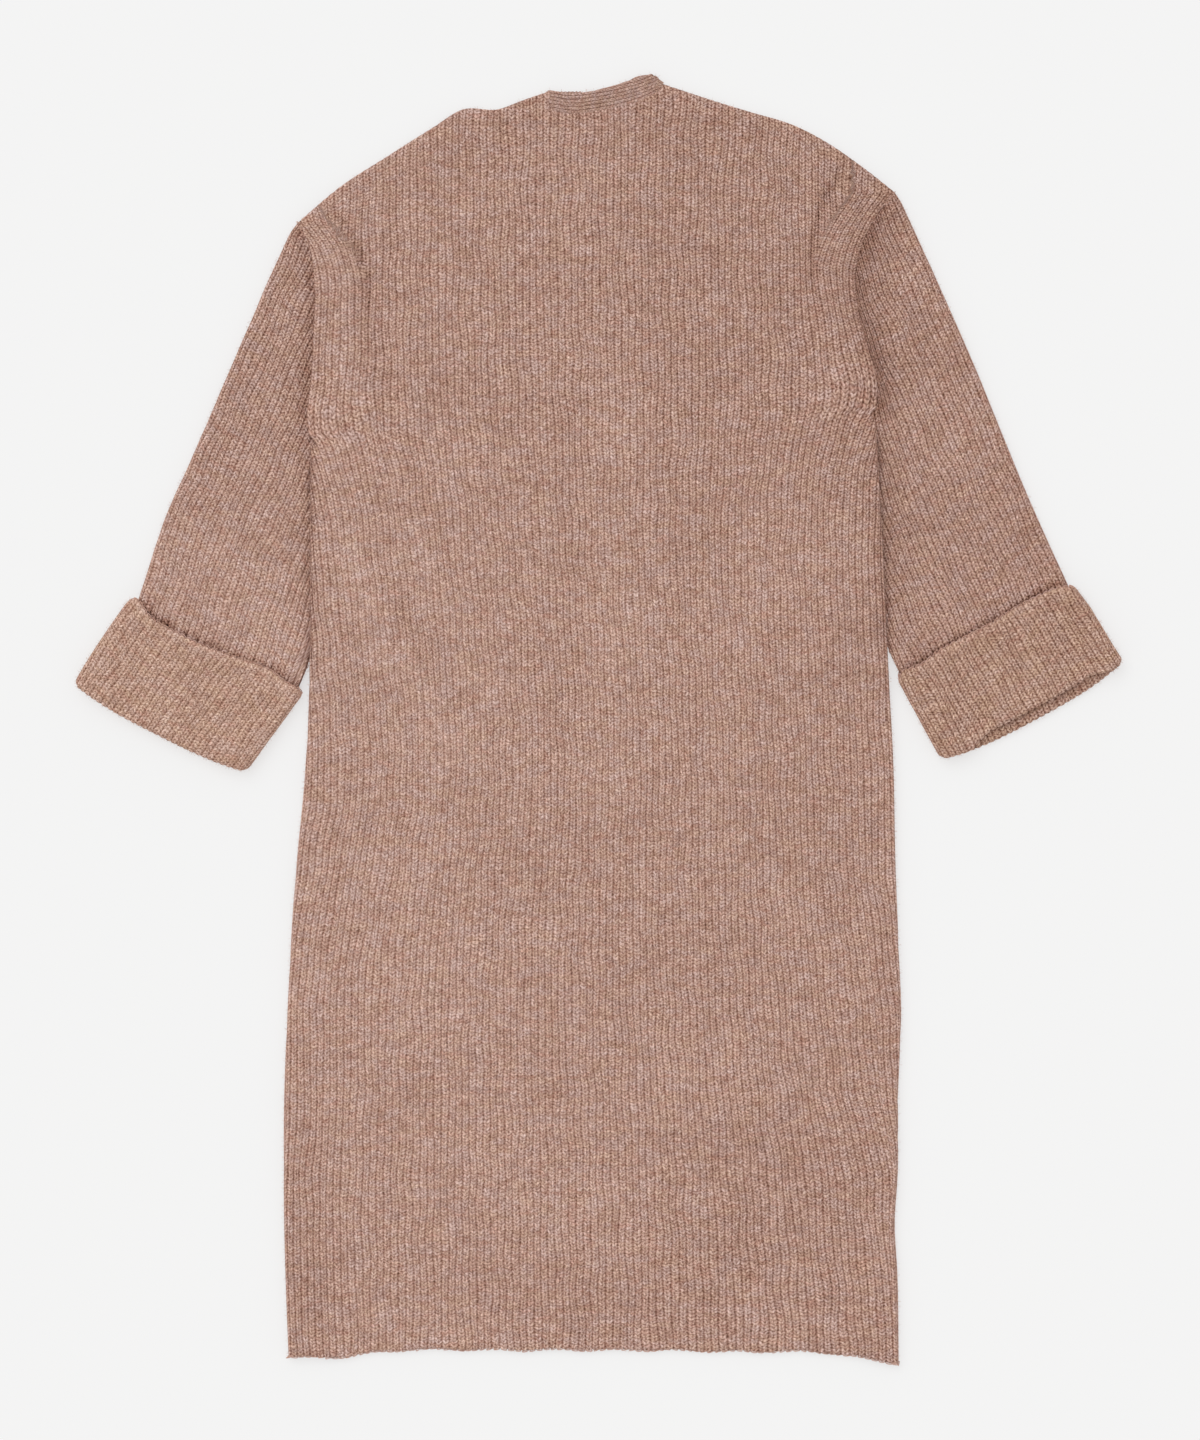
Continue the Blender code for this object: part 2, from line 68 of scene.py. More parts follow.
# The knit, as the solids have it
WALL = 3.0  # thickness of one layer
GAP = 0.6  # air between two layers that lie on each other
SEAM = 0.2  # each solid stops this far short of a seam line
OPEN = 2.0  # how much further apart the two layers stand at a soft fold than in the flat
FOLD_R = WALL + (GAP + OPEN) / 2  # outer radius of a fold round two layers
SOFT_REACH = 60.0  # the layers close up again this far in from a fold
BAND_WIDTH = 30.0
HEM_RIPPLE, HEM_RIPPLE_LENGTH = 0.8, 52.0

# The body's side where a sleeve is tucked under it, as the solids have it
LIFT = 9.0
TUCK_FLAT, TUCK_END = 20.0, 70.0  # in from the fold, the under layer is lifted to here and ends there
TENT_FLAT, TENT_END = 50.0, 135.0  # the same two places on the upper layer, which spans further

# The turned-back cuffs, as the solids have them
CUFF_R = FOLD_R + GAP + WALL  # outer radius of the fold round all four layers
CUFF_RETURN = 15.0  # depth of the cuff's inner wall, up to its seam with the sleeve
CUFF_RAMP = 40.0  # the sleeve rises onto the cuff's under wall over this length
CUFF_WIDTH = 168.0  # of a flattened cuff

# Rows of the solids' panels
HEM_TO_TUCK_ROWS = 15
TUCK_ROWS = 4
ARMHOLE_ROWS = 8
UNDERARM_ROW = HEM_TO_TUCK_ROWS + 1 + TUCK_ROWS + 1
LAST_ROW = UNDERARM_ROW + ARMHOLE_ROWS

# Wales and rows of the shells
BACK_WALES = 79
BACK_WIDTH = 480.0  # only to place the columns close to its edges
FRONT_WALES = 33
CUFF_WALES = 62
COLUMNS_PER_WALE = 6
FRONT_COLUMNS_PER_WALE = 4
TOP_COLUMNS = 52  # of a front, from its side seam on top to the side fold
FOLD_COLUMNS = 18  # and round the side fold
BAND_COLUMNS = 48
BAND_COURSES = 1.15  # courses of the front bands for one of the panels
BAND_ROW_SPACING = 1.3  # of the front bands, as a share of the panels'
SLEEVE_ROWS = 84
SLEEVE_ROWS_AT_SEAM = [0, 0.0015, 0.004, 0.009]  # closer rows, as shares of the sleeve's length
CUFF_ROWS = 26
CUFF_ROWS_AT_EDGE = [0, 0.004, 0.01, 0.02]
SLEEVE_STITCHES, NECK_STITCHES = 160, 34  # stitches that link a sleeve and the neckband to the back
COURSE = 3.1  # length of one course of the sleeves and the cuffs
NECK_COURSE = 3.0
CUFF_WALE = 5.4  # width of one wale of the cuffs
ROWS_AT_HEM = [0.0, 0.01, 0.03, 0.06, 0.1]  # closer rows, in rows of the solids from the hem
ROWS_AT_TOP = [0.14, 0.09, 0.05, 0.02, 0.0]  # and from the shoulder
ARMHOLE_SPACING = 0.7  # rows beside the armhole, as a share of the spacing elsewhere

# Length of a course of the body by its height: the knit is looser in its middle
COURSE_HEIGHTS = -620.0, -400.0, -200.0, -50.0, 150.0, 300.0, 600.0
COURSE_LENGTHS = 2.95, 3.0, 3.1, 3.2, 3.2, 3.05, 3.0

# A shell's inner face
INNER_SHARE = 0.9  # a shell's thickness, as a share of the wall, so that no two shells touch
INNER_ROW_STEP = 4  # the inner face has every fourth row of the outer one
INNER_LOWEST = 0.2
SHARP_ANGLE = 75.0  # degrees between two faces that aren't smoothed into each other

# Rounded edges, by their radius
SEAM_ROUND = 0.3
ARMHOLE_ROUND = 7.0
HEM_ROUND = 2.2
FRONT_HEM_ROUND = HEM_ROUND * 0.6
SHOULDER_ROUND = 3.2
FRONT_SHOULDER_ROUND = 2.4
FRONT_ARMHOLE_ROUND = 1.4
BAND_ROUND = 1.2
BAND_END_ROUND = 1.4
NECK_EDGE_ROUND = 2.2
SLEEVE_END_ROUND = 1.6
CUFF_EDGE_ROUND = 1.3

# How pieces meet
LAP = 0.15  # how far two panels run into each other at their seam
ARMHOLE_LAP = 0.9  # how far a sleeve runs under the back
ARMHOLE_UNDER = 0.25  # how much deeper it lies there
ARMHOLE_STEP = 1.3  # how far the back and the sleeve dip at the armhole
CROTCH_LAP = 1.2  # how far a sleeve's inner fold runs under the body's side where it would be clear
UNDERARM_LAP = 7.0  # how much further it does so at the underarm
UNDERARM_REACH = 0.2  # the share of the sleeve's length over which that fades
UNDER_CUFF = 14.0  # how far a sleeve runs on under its cuff before it turns with it
CUFF_CLEAR = {"left": 3.0, "right": 3.8}  # how far inside its cuff's side a sleeve runs
NECK_LAP = 0.8  # how far the neckband runs under the back

# How the wales turn with the edges of the back
FOLLOW_REACH = 48.0  # most of the wales follow an edge's turns this far in from it
FOLLOW_FAR, FOLLOW_FAR_SHARE = 120.0, 0.15  # and a last share of them this far
LEAN_REACH = 50.0  # width of the strip in which the courses turn with leaning wales
CALM_REACH = 80.0  # turns of an edge shorter than this don't reach the wales in the middle
FLARE_REACH = 20.0  # and shorter ones than this don't turn the courses
UNDERARM_BLEND = 12  # height over which an edge changes from the side fold to the armhole
FRONT_BLEND = 14  # height over which a front's side changes from its fold to the flat
SHOULDER_RISE = 65.0  # height over which a shoulder's fold and its wales run outwards
GROOVE_DEPTH, GROOVE_SHADE = 1.2, 0.3  # of a shoulder's fold
SLEEVE_LEANS = {"left": 0.0, "right": 1.5}  # wales by which a sleeve's knit is turned at its seam
SHOULDER_FULLNESS = {"left": 1.6, "right": 1.4}  # how far the outer fold stands out at the shoulder

Side = namedtuple("Side", "y edge seam")
Armhole = namedtuple("Armhole", "y x")
Shoulder = namedtuple("Shoulder", "x y")
Neck = namedtuple("Neck", "x y")
Tuck = namedtuple("Tuck", "foot low high")
SleeveRow = namedtuple("SleeveRow", "along outer_x outer_y inner_y tuck")
Cuff = namedtuple("Cuff", "top_outer top_inner hem_outer hem_inner bow")
Hem = namedtuple("Hem", "x y")
Band = namedtuple("Band", "y left_edge right_edge")
ShoulderFold = namedtuple("ShoulderFold", "start run lean low")
Ridge = namedtuple("Ridge", "x0 y0 x1 y1 height width")
EdgePoint = namedtuple("EdgePoint", "share sag")
Peel = namedtuple("Peel", "depth middle flat end")
ArmholeShade = namedtuple("ArmholeShade", "depth reach")
FoldShade = namedtuple("FoldShade", "sleeve sleeve_reach body body_reach")
Noise = namedtuple("Noise", "across along seed detail roughness")


def table(kind, *rows):
    """A table's rows with named columns."""
    return [kind(*row) for row in rows]


# Side folds and the seams that lie on top of them, from hem to underarm
SIDES = {
    "left": table(
        Side, (-544, 265.5, 230.3), (-487, 267.8, 232.5), (-410, 269.7, 233.8), (-319, 269.2, 230.3),
        (-228, 265.6, 229.5), (-123, 258.8, 215.6), (-60, 252.6, 207.3), (60, 246.8, 213.2),
        (146, 246.4, 221.8), (186, 246.4, 226.5), (239, 247.0, 242.0),
    ),
    "right": table(
        Side, (-549, 255.6, 251.0), (-472, 254.3, 249.0), (-431, 252.1, 247.0), (-391, 254.6, 250.0),
        (-318, 255.1, 239.7), (-246, 257.6, 235.5), (-205, 256.0, 231.2), (-139, 253.4, 223.5),
        (-35, 251.2, 220.1), (71, 244.9, 215.0), (170, 240.2, 212.8), (220, 237.6, 217.0),
        (263, 235.8, 231.0),
    ),
}

# Armhole seams, from underarm to shoulder point
ARMHOLES = {
    "left": table(
        Armhole, (239, 247.4), (256, 250.0), (290, 246.8), (333, 244.6), (367, 243.4), (390, 244.9),
        (405, 247.6), (425, 258.2),
    ),
    "right": table(
        Armhole, (263, 236.2), (282, 238.0), (304, 234.6), (325, 228.0), (350, 221.8), (386, 219.6),
        (403, 223.6), (424, 233.0), (451, 252.4),
    ),
}

# Shoulder seams, from neck to shoulder point
SHOULDERS = {
    "left": table(
        Shoulder, (43.2, 537.6), (65.4, 530.0), (86.0, 522.4), (118.4, 521.6), (141.0, 507.6),
        (180.8, 482.4), (221.8, 455.8), (258.2, 425.0),
    ),
    "right": table(
        Shoulder, (55.1, 543.6), (86.0, 533.3), (127.0, 520.5), (168.0, 507.7), (188.5, 497.4),
        (229.5, 469.2), (252.4, 451.0),
    ),
}

# Back neck: the seam under the neckband and the band's free edge, from left to right
NECK_SEAM = table(
    Neck, (-39.7, 521.4), (-24.0, 518.9), (-1.3, 521.2), (16.7, 524.8), (34.6, 529.9), (43.5, 534.0),
    (50.9, 538.5),
)
NECK_EDGE = table(
    Neck, (-42.4, 538.2), (-21.8, 536.0), (-1.3, 539.3), (16.7, 543.6), (34.6, 550.6), (45.7, 551.8),
    (55.0, 546.0),
)

# The hem, from left to right
HEM = table(
    Hem, (-266, -544.0), (-225, -544.4), (-190, -540.0), (-60, -538.2), (40, -538.2), (120, -539.6),
    (190, -540.4), (222, -544.5), (256, -550.0),
)

# Heights between which the body's side lies over the sleeve
TUCKS = {"left": Tuck(4, 47, 202), "right": Tuck(14, 58, 226)}

# Sleeves by length from armhole (0) to the cuff's free edge (1). The tuck is how far the inner fold
# lies under the body's side, below zero where it is clear of it.
SLEEVES = {
    "left": table(
        SleeveRow, (0.0, 258.2, 425.0, 239, -0.6), (0.16, 279.0, 384.0, 212, -0.6),
        (0.32, 299.5, 337.0, 182, 9.0), (0.5, 323.5, 282.0, 143, 15.0), (0.68, 347.0, 227.0, 102, 12.0),
        (0.86, 372.8, 168.6, 62, 1.0),
    ),
    "right": table(
        SleeveRow, (0.0, 252.4, 451.0, 263, -0.6), (0.16, 274.0, 406.0, 236, -0.6),
        (0.32, 295.5, 359.0, 204, 9.0), (0.5, 321.0, 301.0, 162, 15.0), (0.68, 345.2, 241.6, 118, 12.0),
        (0.86, 369.6, 183.0, 75, 3.0),
    ),
}

# Corners of the cuffs. The free edge is the one that lies on the sleeve, and the hem bows outwards.
CUFFS = {
    "left": Cuff((399.6, 105.4), (252.6, 23.4), (449.0, 31.0), (297.4, -45.5), 7.0),
    "right": Cuff((407.2, 117.6), (251.6, 39.5), (449.4, 48.6), (290.8, -33.6), 9.0),
}

# The front opening: the free edges of the two bands, from hem to neck
OPENING = table(
    Band, (-540, -56.0, -54.0), (-200, -47.0, -45.0), (190, -22.0, -20.0), (545, -15.0, 25.0),
)

# Soft ridges on the back, each along a straight line that fades at its ends
RIDGES = table(
    Ridge, (-213, 124, -136, -13, 3.0, 22), (-165, 150, -100, 30, 2.0, 20),
    (-224, 390, -205, 270, 2.5, 20), (205, 376, 198, 270, 2.2, 22), (20, 250, 5, -60, 1.4, 26),
)

SIGNS = {"left": -1, "right": 1}

# Softer folds of the back than the solid has: troughs are below zero
CREASES = table(
    Ridge, (-196, 142, -116, 6, -1.6, 9), (-216, 410, -178, 282, -1.5, 10),
    (-200, 420, -196, 372, -1.4, 5), (-206, 404, -193, 370, -1.2, 4), (186, 412, 184, 378, -1.2, 6),
    (-20, 262, -32, -40, -1.0, 13), (-32, -40, -50, -208, -0.8, 14), (214, 130, 222, -210, -0.9, 12),
    (60, 330, 88, 170, -0.7, 22), (-120, -180, -150, -330, -0.8, 20), (110, -150, 150, -360, -0.8, 24),
    (-246, -400, -242, -432, -1.0, 12), (120, 60, 96, -90, 0.9, 20), (-60, -330, -30, -470, 0.8, 24),
)

# Folds at the shoulders, by their distance from the armhole: the wales outside them lean outwards
SHOULDER_FOLDS = {
    "left": ShoulderFold(45, 18, 9, 360),
    "right": ShoulderFold(36, 0, 0, 385),
}

# The free edge of each cuff: how far it hangs below a straight line, from its inner side to its outer
CUFF_EDGES = {
    "left": table(
        EdgePoint, (0.0, 0.0), (0.06, 0.0), (0.16, -2.4), (0.3, 0.0), (0.45, 4.0), (0.6, 6.7),
        (0.75, 7.6), (0.88, 7.4), (0.94, 4.8), (1.0, 0.0),
    ),
    "right": table(
        EdgePoint, (0.0, 0.5), (0.05, 2.8), (0.12, 2.7), (0.2, 0.5), (0.3, -0.8), (0.45, -0.8),
        (0.58, -1.6), (0.7, -3.4), (0.85, -3.6), (0.95, -2.4), (1.0, 0.0),
    ),
}

# Shapes of the cuffs
CUFF_PEELS = {"left": Peel(0.0, 0.5, 0.3, 0.4), "right": Peel(8.5, 0.55, 0.28, 0.47)}
CUFF_FLARES = {"left": 0.2, "right": -2.6}  # how far the outer side stands out at the free edge
CUFF_BULGES = {"left": 1.8, "right": -0.8}  # and halfway down
CUFF_INSETS = {"left": 4.5, "right": 0.0}  # how far the inner side is drawn in at the hem
CUFF_OPEN_REACH = 26.0  # how far below its free edge a cuff stands off the sleeve
CUFF_OPEN = 1.2  # and how far it does so
HEM_RISES = {"left": 0.0, "right": 2.2}  # how much higher the hem is at the outer side
HEM_CORNER = 4.0  # radius of a cuff's corners at its hem, and at its free edge
EDGE_CORNERS = {"left": 5.0, "right": 10.0}

# Painted shade: how much darker the knit is painted in the folds and beside the seams
ARMHOLE_SHADES = {"left": ArmholeShade(0.4, 8.0), "right": ArmholeShade(0.46, 9.5)}
BODY_SHADES = {"left": 0.06, "right": 0.28}  # on the back, beside the armhole
BODY_SHADE_REACH = 3.0
RISE_LIGHT = 0.03  # painted light: how much lighter the back is for each millimetre of its ridges
BODY_SIDE_SHADES = {"left": 0.0, "right": 0.09}  # painted shade on the back's side below the shoulder
FOLD_SHADES = {"left": FoldShade(0.26, 6.0, 0.42, 3.0), "right": FoldShade(0.2, 6.5, 0.22, 8.0)}
HOLE_SHADES = {"left": 0.7, "right": 0.0}  # where the cuff stands off the sleeve's outer fold
# painted light: the left sleeve and its cuff a little lighter, the right ones darker
SLEEVE_LIGHTS = {"left": 1.07, "right": 0.88}
# painted shade towards the top of the sleeve
SLEEVE_TOP_SHADES = {"left": 0.13, "right": 0.0}
DARKEST = 0.9  # the most light that a sleeve loses
EDGE_HIGHLIGHT = 0.19  # painted highlight: how much lighter a cuff is at its free edge
CUFF_OCHRE = 0.35  # how much more ochre a cuff shows, since its other face is out

# Waves of the knit's wanders, by how fast they go across and along, in radians per millimetre
STRAYS = (0.11, 0.06), (0.07, 0.09), (0.19, 0.045), (0.04, 0.13)
STRAY = 0.1  # how far each of the first kind moves a wale, in wales
SWAYS = (0.031, 0.017), (0.013, 0.029), (0.007, 0.011), (0.052, 0.041)

# Sizes of the loops of a cast-off edge, and of the stitches that link one piece to another, in metres
CHAINS = {
    "cast off": {"Length": 0.0052, "Width": 0.0014, "Yarn": 0.0008, "Lowest": 0.001},
    "linked": {"Length": 0.0034, "Width": 0.0012, "Yarn": 0.0006, "Lowest": 0.0008},
}

# Seeds of the pieces' loops and fibres; a left and a right piece have the numbers beside theirs
SEEDS = {"back": 1, "front": 2, "neckband": 5, "band": 7, "sleeve": 11, "cuff": 14}

# Flat sizes of the panels as they are knitted, in metres: width and length, and the area of those
# that aren't rectangles
FRONT_CUTS = {"left": (0.21, 1.07), "right": (0.25, 1.07)}
SLEEVE_AREAS = {"left": 0.099, "right": 0.105}

# Noises of the stitches and of the yarn: how fast they change across the wales and along the courses
NOISES = {
    "wander": Noise(1.1, 0.9, 3.0, 3.0, 0.6),
    "jitter": Noise(1.3, 0.5, 9.0, 3.0, 0.6),
    "ragged": Noise(3.2, 1.4, 13.0, 1.0, 0.6),
    "pale": Noise(0.3, 0.3, 21.0, 4.0, 0.6),
    "ochre": Noise(0.24, 0.34, 37.0, 4.0, 0.6),
    "dark": Noise(0.45, 0.5, 53.0, 4.0, 0.65),
    "cloud": Noise(0.2, 0.25, 61.0, 2.0, 0.6),
    "broad": Noise(0.04, 0.035, 71.0, 2.0, 0.5),
    "fibre": Noise(4.5, 2.6, 83.0, 1.0, 0.7),
}

# The stitches' look, with painted light on their crests and painted shade in their valleys. A pair is a
# factor and a value added to the product.
JITTER, WALE_OFFSET, RAGGED = 1.1, 0.45, 0.95  # in courses: along a wale, between wales, at the edges
RISE_END, CREST_END = 0.9, 0.42  # on the way from the crest, at 0, to the valley, at 1
VALLEY_DEPTH, CREST_HEIGHT, FLECK_HEIGHT = -0.8, 0.35, 0.25
CREST_LIGHT = (0.5, 0.74)
VALLEY_BY_STRAND = (-0.5, 1.3)
CONTRAST_BY_CREST = (-0.3, 1.08)
STRAND_SHARPNESS = 2.2
MEAN_STRAND = 0.69
VALLEY_SHADE = -0.86
DARKEST_STITCH = 0.02
DEPTH_IN_DARK, DEPTH_BY_LIGHT = 2.1, -1.2  # contrast of the stitches, less where there's more light
ROLL_OFF = 0.14  # how much the lightest stitches are held back
RED_CONTRAST, BLUE_CONTRAST = 0.78, 1.12
BUMP_STRENGTH, BUMP_DEPTH = 0.7, 0.0008

# The melange's fibres: from which to which value of their noise they come up, and their share then
FIBRE_SHARES = {"pale": (0.42, 0.62, 0.62), "ochre": (0.46, 0.64, 0.38), "dark": (0.52, 0.68, 0.55)}
# Its light, as pairs: by the stitch, by slow, broad and fine noises, and how much of it loose yarn has
STITCH_LIGHT = (0.5, 0.75)
NOISE_LIGHT = {"cloud": (0.3, 0.85), "broad": (0.24, 0.88), "fibre": (1.7, 0.15)}
LOOSE_LIGHT = (0.3, 0.85)
YARN_SCALE = 180.0  # wales and courses of the melange per metre of a loose yarn
BAND_WARMTH = 0.92  # the bands' colours, as a share of the panels'

# Loops and fibres, in metres or as shares of their length
CHAIN_ENDS = 0.008, 0.992  # the stretch of a line that has loops, so that they stay off its corners
LOOP_TURN = (0.2, 0.2, 0.12)
LOOP_SCALE = 0.85, 1.12
FIBRE_ARC = {"Start": (0, 0, -0.04), "Middle": (0.3, 0, 0.5), "End": (0.05, 0.0, 0.95)}
FIBRE_OUTWARDS = (1.2, 1.2, 0.15)
FIBRE_LEAN = {"Min": (-0.8, -0.8, 0.05), "Max": (0.8, 0.8, 0.5)}
FIBRE_SCALE = 0.5, 1.3
FLAT, STEEP, TURNED_UNDER = 0.75, 0.1, -0.1  # upward part of a normal: few fibres, many, and none
FULL_TURN = 6.28

# The stage, in metres and degrees
LENS = 120.0
SENSOR = 36.0
FRAME_HEIGHT = 1.2308  # what the camera takes in, from top to bottom
FRAME_MIDDLE_X = 0.43  # millimetres from the tables' middle
AIM_Z = 0.006
FLOOR_SIZE = 6.0
FLOOR_GAP = 0.0002  # so that the floor and the underside don't share a plane
FLOOR_GLOW = 0.61
WORLD_LIGHT = 0.75
KEY_LIGHT = 0.9
KEY_SOFTNESS = 50
KEY_FROM_TOP = -25
KEY_FROM_LEFT = -25


def ease(t):
    """Smooth step from 0 to 1."""
    t = np.clip(t, 0.0, 1.0)
    return t * t * (3 - 2 * t)


def fall(distance, flat, end):
    """1 up to one distance from a fold, 0 beyond another."""
    return ease((end - distance) / (end - flat))


def bump(distance, reach):
    """1 at no distance, fading to 0 over a reach."""
    return np.exp(-((distance / reach) ** 2))


def round_drop(distance, radius):
    """How far a face drops at a distance from an edge that is rounded to a radius."""
    inside = radius - np.clip(distance, 0.0, radius)
    return radius - np.sqrt(radius * radius - inside * inside)


def soft_drop(distance, reach):
    """1 at an edge, falling off to 0 at a distance."""
    return (1 - np.clip(distance / reach, 0, 1)) ** 2


def curve(rows, along, across):
    """A smooth function through one column of a table, read along another."""
    rows = sorted(rows, key=lambda row: getattr(row, along))
    xs = np.array([getattr(row, along) for row in rows], float)
    ys = np.array([getattr(row, across) for row in rows], float)
    slopes = np.gradient(ys, xs)

    def at(x):
        i = np.clip(np.searchsorted(xs, x) - 1, 0, len(xs) - 2)
        step = xs[i + 1] - xs[i]
        t = np.clip((x - xs[i]) / step, 0, 1)
        bend = slopes[i] * (t**3 - 2 * t**2 + t) + slopes[i + 1] * (t**3 - t**2)
        return ys[i] + (ys[i + 1] - ys[i]) * (3 * t**2 - 2 * t**3) + step * bend

    return at


def straight(rows, along, across):
    """The same with straight stretches from row to row."""
    rows = sorted(rows, key=lambda row: getattr(row, along))
    xs = [getattr(row, along) for row in rows]
    ys = [getattr(row, across) for row in rows]
    return lambda x: np.interp(x, xs, ys)


def mix(a, b, t):
    """Between two values, by a share."""
    return np.asarray(a, float) * (1 - t) + np.asarray(b, float) * t


def stack(x, y, z):
    """Points from their coordinates."""
    return np.stack(np.broadcast_arrays(x, y, z), axis=-1).astype(float)


# ---------------------------------------------------------------------------------------------- body

EDGE = {side: curve(rows, "y", "edge") for side, rows in SIDES.items()}
SIDE_SEAM = {side: curve(rows, "y", "seam") for side, rows in SIDES.items()}
ARMHOLE = {side: curve(rows, "y", "x") for side, rows in ARMHOLES.items()}
UNDERARM_Y = {side: rows[0].y for side, rows in ARMHOLES.items()}
SHOULDER_Y = {side: rows[-1].y for side, rows in ARMHOLES.items()}
SHOULDER = {side: curve(rows, "x", "y") for side, rows in SHOULDERS.items()}
HEM_LINE = curve(HEM, "x", "y")
NECK_LINE = curve(NECK_SEAM, "x", "y")
OPENING_EDGE = {side: straight(OPENING, "y", side + "_edge") for side in SIGNS}


def row_heights(side):
    """The y of each row of the solids where it meets the side fold or the armhole seam."""
    tuck = TUCKS[side]
    return np.concatenate(
        [
            np.linspace(SIDES[side][0].y, tuck.foot, HEM_TO_TUCK_ROWS + 1),
            np.linspace(tuck.low, tuck.high, TUCK_ROWS + 1),
            np.linspace(UNDERARM_Y[side], SHOULDER_Y[side], ARMHOLE_ROWS + 1),
        ]
    )


ROWS = {side: row_heights(side) for side in SIDES}


def fine_rows(spacing):
    """Row numbers with fractions, about a spacing apart in the flat and closer at both ends."""
    heights = (ROWS["left"] + ROWS["right"]) / 2
    rows = [*ROWS_AT_HEM]
    for row in range(LAST_ROW):
        fine = ARMHOLE_SPACING if row >= UNDERARM_ROW - 1 else 1.0
        count = math.ceil((heights[row + 1] - heights[row]) / (spacing * fine))
        rows += list(row + np.arange(1, count + 1) / count)
    return np.array(sorted(rows[:-1] + [LAST_ROW - step for step in ROWS_AT_TOP]))


def down_to_hem(x, y, rows):
    """The same heights with those of the lowest rows moved down to the hem."""
    return y + (hem_y(x) - y[:1]) * np.clip(1 - rows, 0, 1)[:, None]


def row_y(side, rows):
    """The y of rows with fractions beside the side fold or the armhole seam."""
    return np.interp(rows, np.arange(LAST_ROW + 1), ROWS[side])


def hem_y(x):
    """The hem with its ripple."""
    return HEM_LINE(x) + HEM_RIPPLE * np.sin(2 * math.pi * x / HEM_RIPPLE_LENGTH)


def tuck_lift(side, y):
    """How far the body's side is lifted by the sleeve under it."""
    tuck = TUCKS[side]
    up = ease(np.interp(y, [tuck.foot, tuck.low], [0, 1]))
    down = ease(np.interp(y, [tuck.high, UNDERARM_Y[side]], [1, 0]))
    return LIFT * up * down


def outline_x(side, y):
    """The body's outermost x: the side fold, or above the underarm the armhole seam."""
    blend = ease((y - UNDERARM_Y[side]) / UNDERARM_BLEND + 0.5)
    return mix(EDGE[side](y), ARMHOLE[side](y), blend)


def beside_sleeve(side, y):
    """0 below the underarm, 1 above it."""
    return ease((y - UNDERARM_Y[side]) / UNDERARM_BLEND)


def line_rise(ridges, x, y):
    """What a table of ridges and troughs adds to a height."""
    rise = np.zeros(np.broadcast(x, y).shape)
    for ridge in ridges:
        along = np.array([ridge.x1 - ridge.x0, ridge.y1 - ridge.y0], float)
        length = np.linalg.norm(along)
        along /= length
        dx, dy = x - ridge.x0, y - ridge.y0
        t = dx * along[0] + dy * along[1]
        beside = np.abs(dx * along[1] - dy * along[0])
        beyond = np.maximum(0, np.maximum(-t, t - length))
        rise += ridge.height * bump(np.hypot(beside, beyond * 0.7), ridge.width)
    return rise


def back_rise(x, y):
    """How far the back's ridges rise and its creases dip."""
    return line_rise(RIDGES, x, y) + line_rise(CREASES, x, y)


def upper_z(x, y):
    """Underside of the upper layer of the body."""
    z = WALL + GAP
    rise = back_rise(x, y)
    for side, sign in SIGNS.items():
        inset = outline_x(side, y) - sign * x
        rise = rise * ease((inset - 4) / 26)
        z = z + OPEN * fall(inset, 2 * FOLD_R, SOFT_REACH)
        z = z + tuck_lift(side, y) * fall(inset, TENT_FLAT, TENT_END)
    return z + rise


def under_z(side, x, y):
    """Underside of a front where it lies on the floor or on a sleeve."""
    inset = outline_x(side, y) - SIGNS[side] * x
    return tuck_lift(side, y) * ease(np.interp(inset, [TUCK_FLAT, TUCK_END], [1, 0]))


def arch(rows):
    """Share of the shoulder line's shape that a row takes on: none up to the underarm, all on top."""
    return np.maximum(0.0, (rows - UNDERARM_ROW) / ARMHOLE_ROWS)


def side_line(side, y):
    """Where the back ends: at the side seam, or above the underarm at the armhole seam."""
    above = y - UNDERARM_Y[side]
    below = np.minimum(SIDE_SEAM[side](y), EDGE[side](y) - FOLD_R)
    below = mix(below, EDGE[side](y) - FOLD_R, ease((above + 8) / 8))
    return mix(below, ARMHOLE[side](y), ease((above + 1) / 3)) + LAP


def follow(distance):
    """How far the wales at a distance from an edge follow its turns, from 1 beside it."""
    return mix(bump(distance, FOLLOW_REACH), bump(distance, FOLLOW_FAR), FOLLOW_FAR_SHARE)


def painted_light(x, y):
    """Painted light and shade over the cardigan: a little darker to the right, at the top and at the hem.
    """
    to_right = 0.09 * ease((x + 230) / 460)
    low_left = 0.06 * ease((-200 - x) / 50) * ease((-250 - y) / 100)
    to_top = 0.08 * ease((y - 120) / 200)
    to_hem = 0.04 * ease((-320 - y) / 150)
    return 1.05 - to_right - low_left - to_top - to_hem


def shadow(depth, distance, reach):
    """Share of light lost at a distance from a fold or a seam that hides it from the light."""
    return depth * (0.6 * bump(distance, reach) + 0.4 * bump(distance, 2.4 * reach))


def over_sleeve(side, y):
    """1 where the body's side lies over the sleeve, 0 above and below."""
    return ease((y - TUCKS[side].low + 12) / 16) * ease((UNDERARM_Y[side] + 4 - y) / 10)


def waves(speeds, across, along, seed, start, shift):
    """Waves over the knit, one for each pair of speeds, which never come into step."""
    for k, (a, b) in enumerate(speeds):
        phase = seed * (k + start)
        yield np.sin(a * across + phase) * np.cos(b * along + shift * phase)


def stray(across, along, seed):
    """A small wander of the wales, in wales."""
    return STRAY * sum(waves(STRAYS, across, along, seed, 2.3, 1.9))


def sway(across, along, seed):
    """A slow wander of the knit, of about one wale or course, that never repeats."""
    return sum(wave / (k + 2) for k, wave in enumerate(waves(SWAYS, across, along, seed, 1.7, 2.3)))


def lean_courses(slope, distance):
    """Courses by which the knit is turned, so that its stitches stay square to leaning wales."""
    return slope * LEAN_REACH / COURSE * bump(distance, FOLLOW_REACH)


def calm(line, y, reach):
    """The same line with its quick turns smoothed away."""
    weights = bump(y[:, None] - y[None, :], reach) * np.gradient(y)[None, :]
    return weights @ line / weights.sum(axis=1)


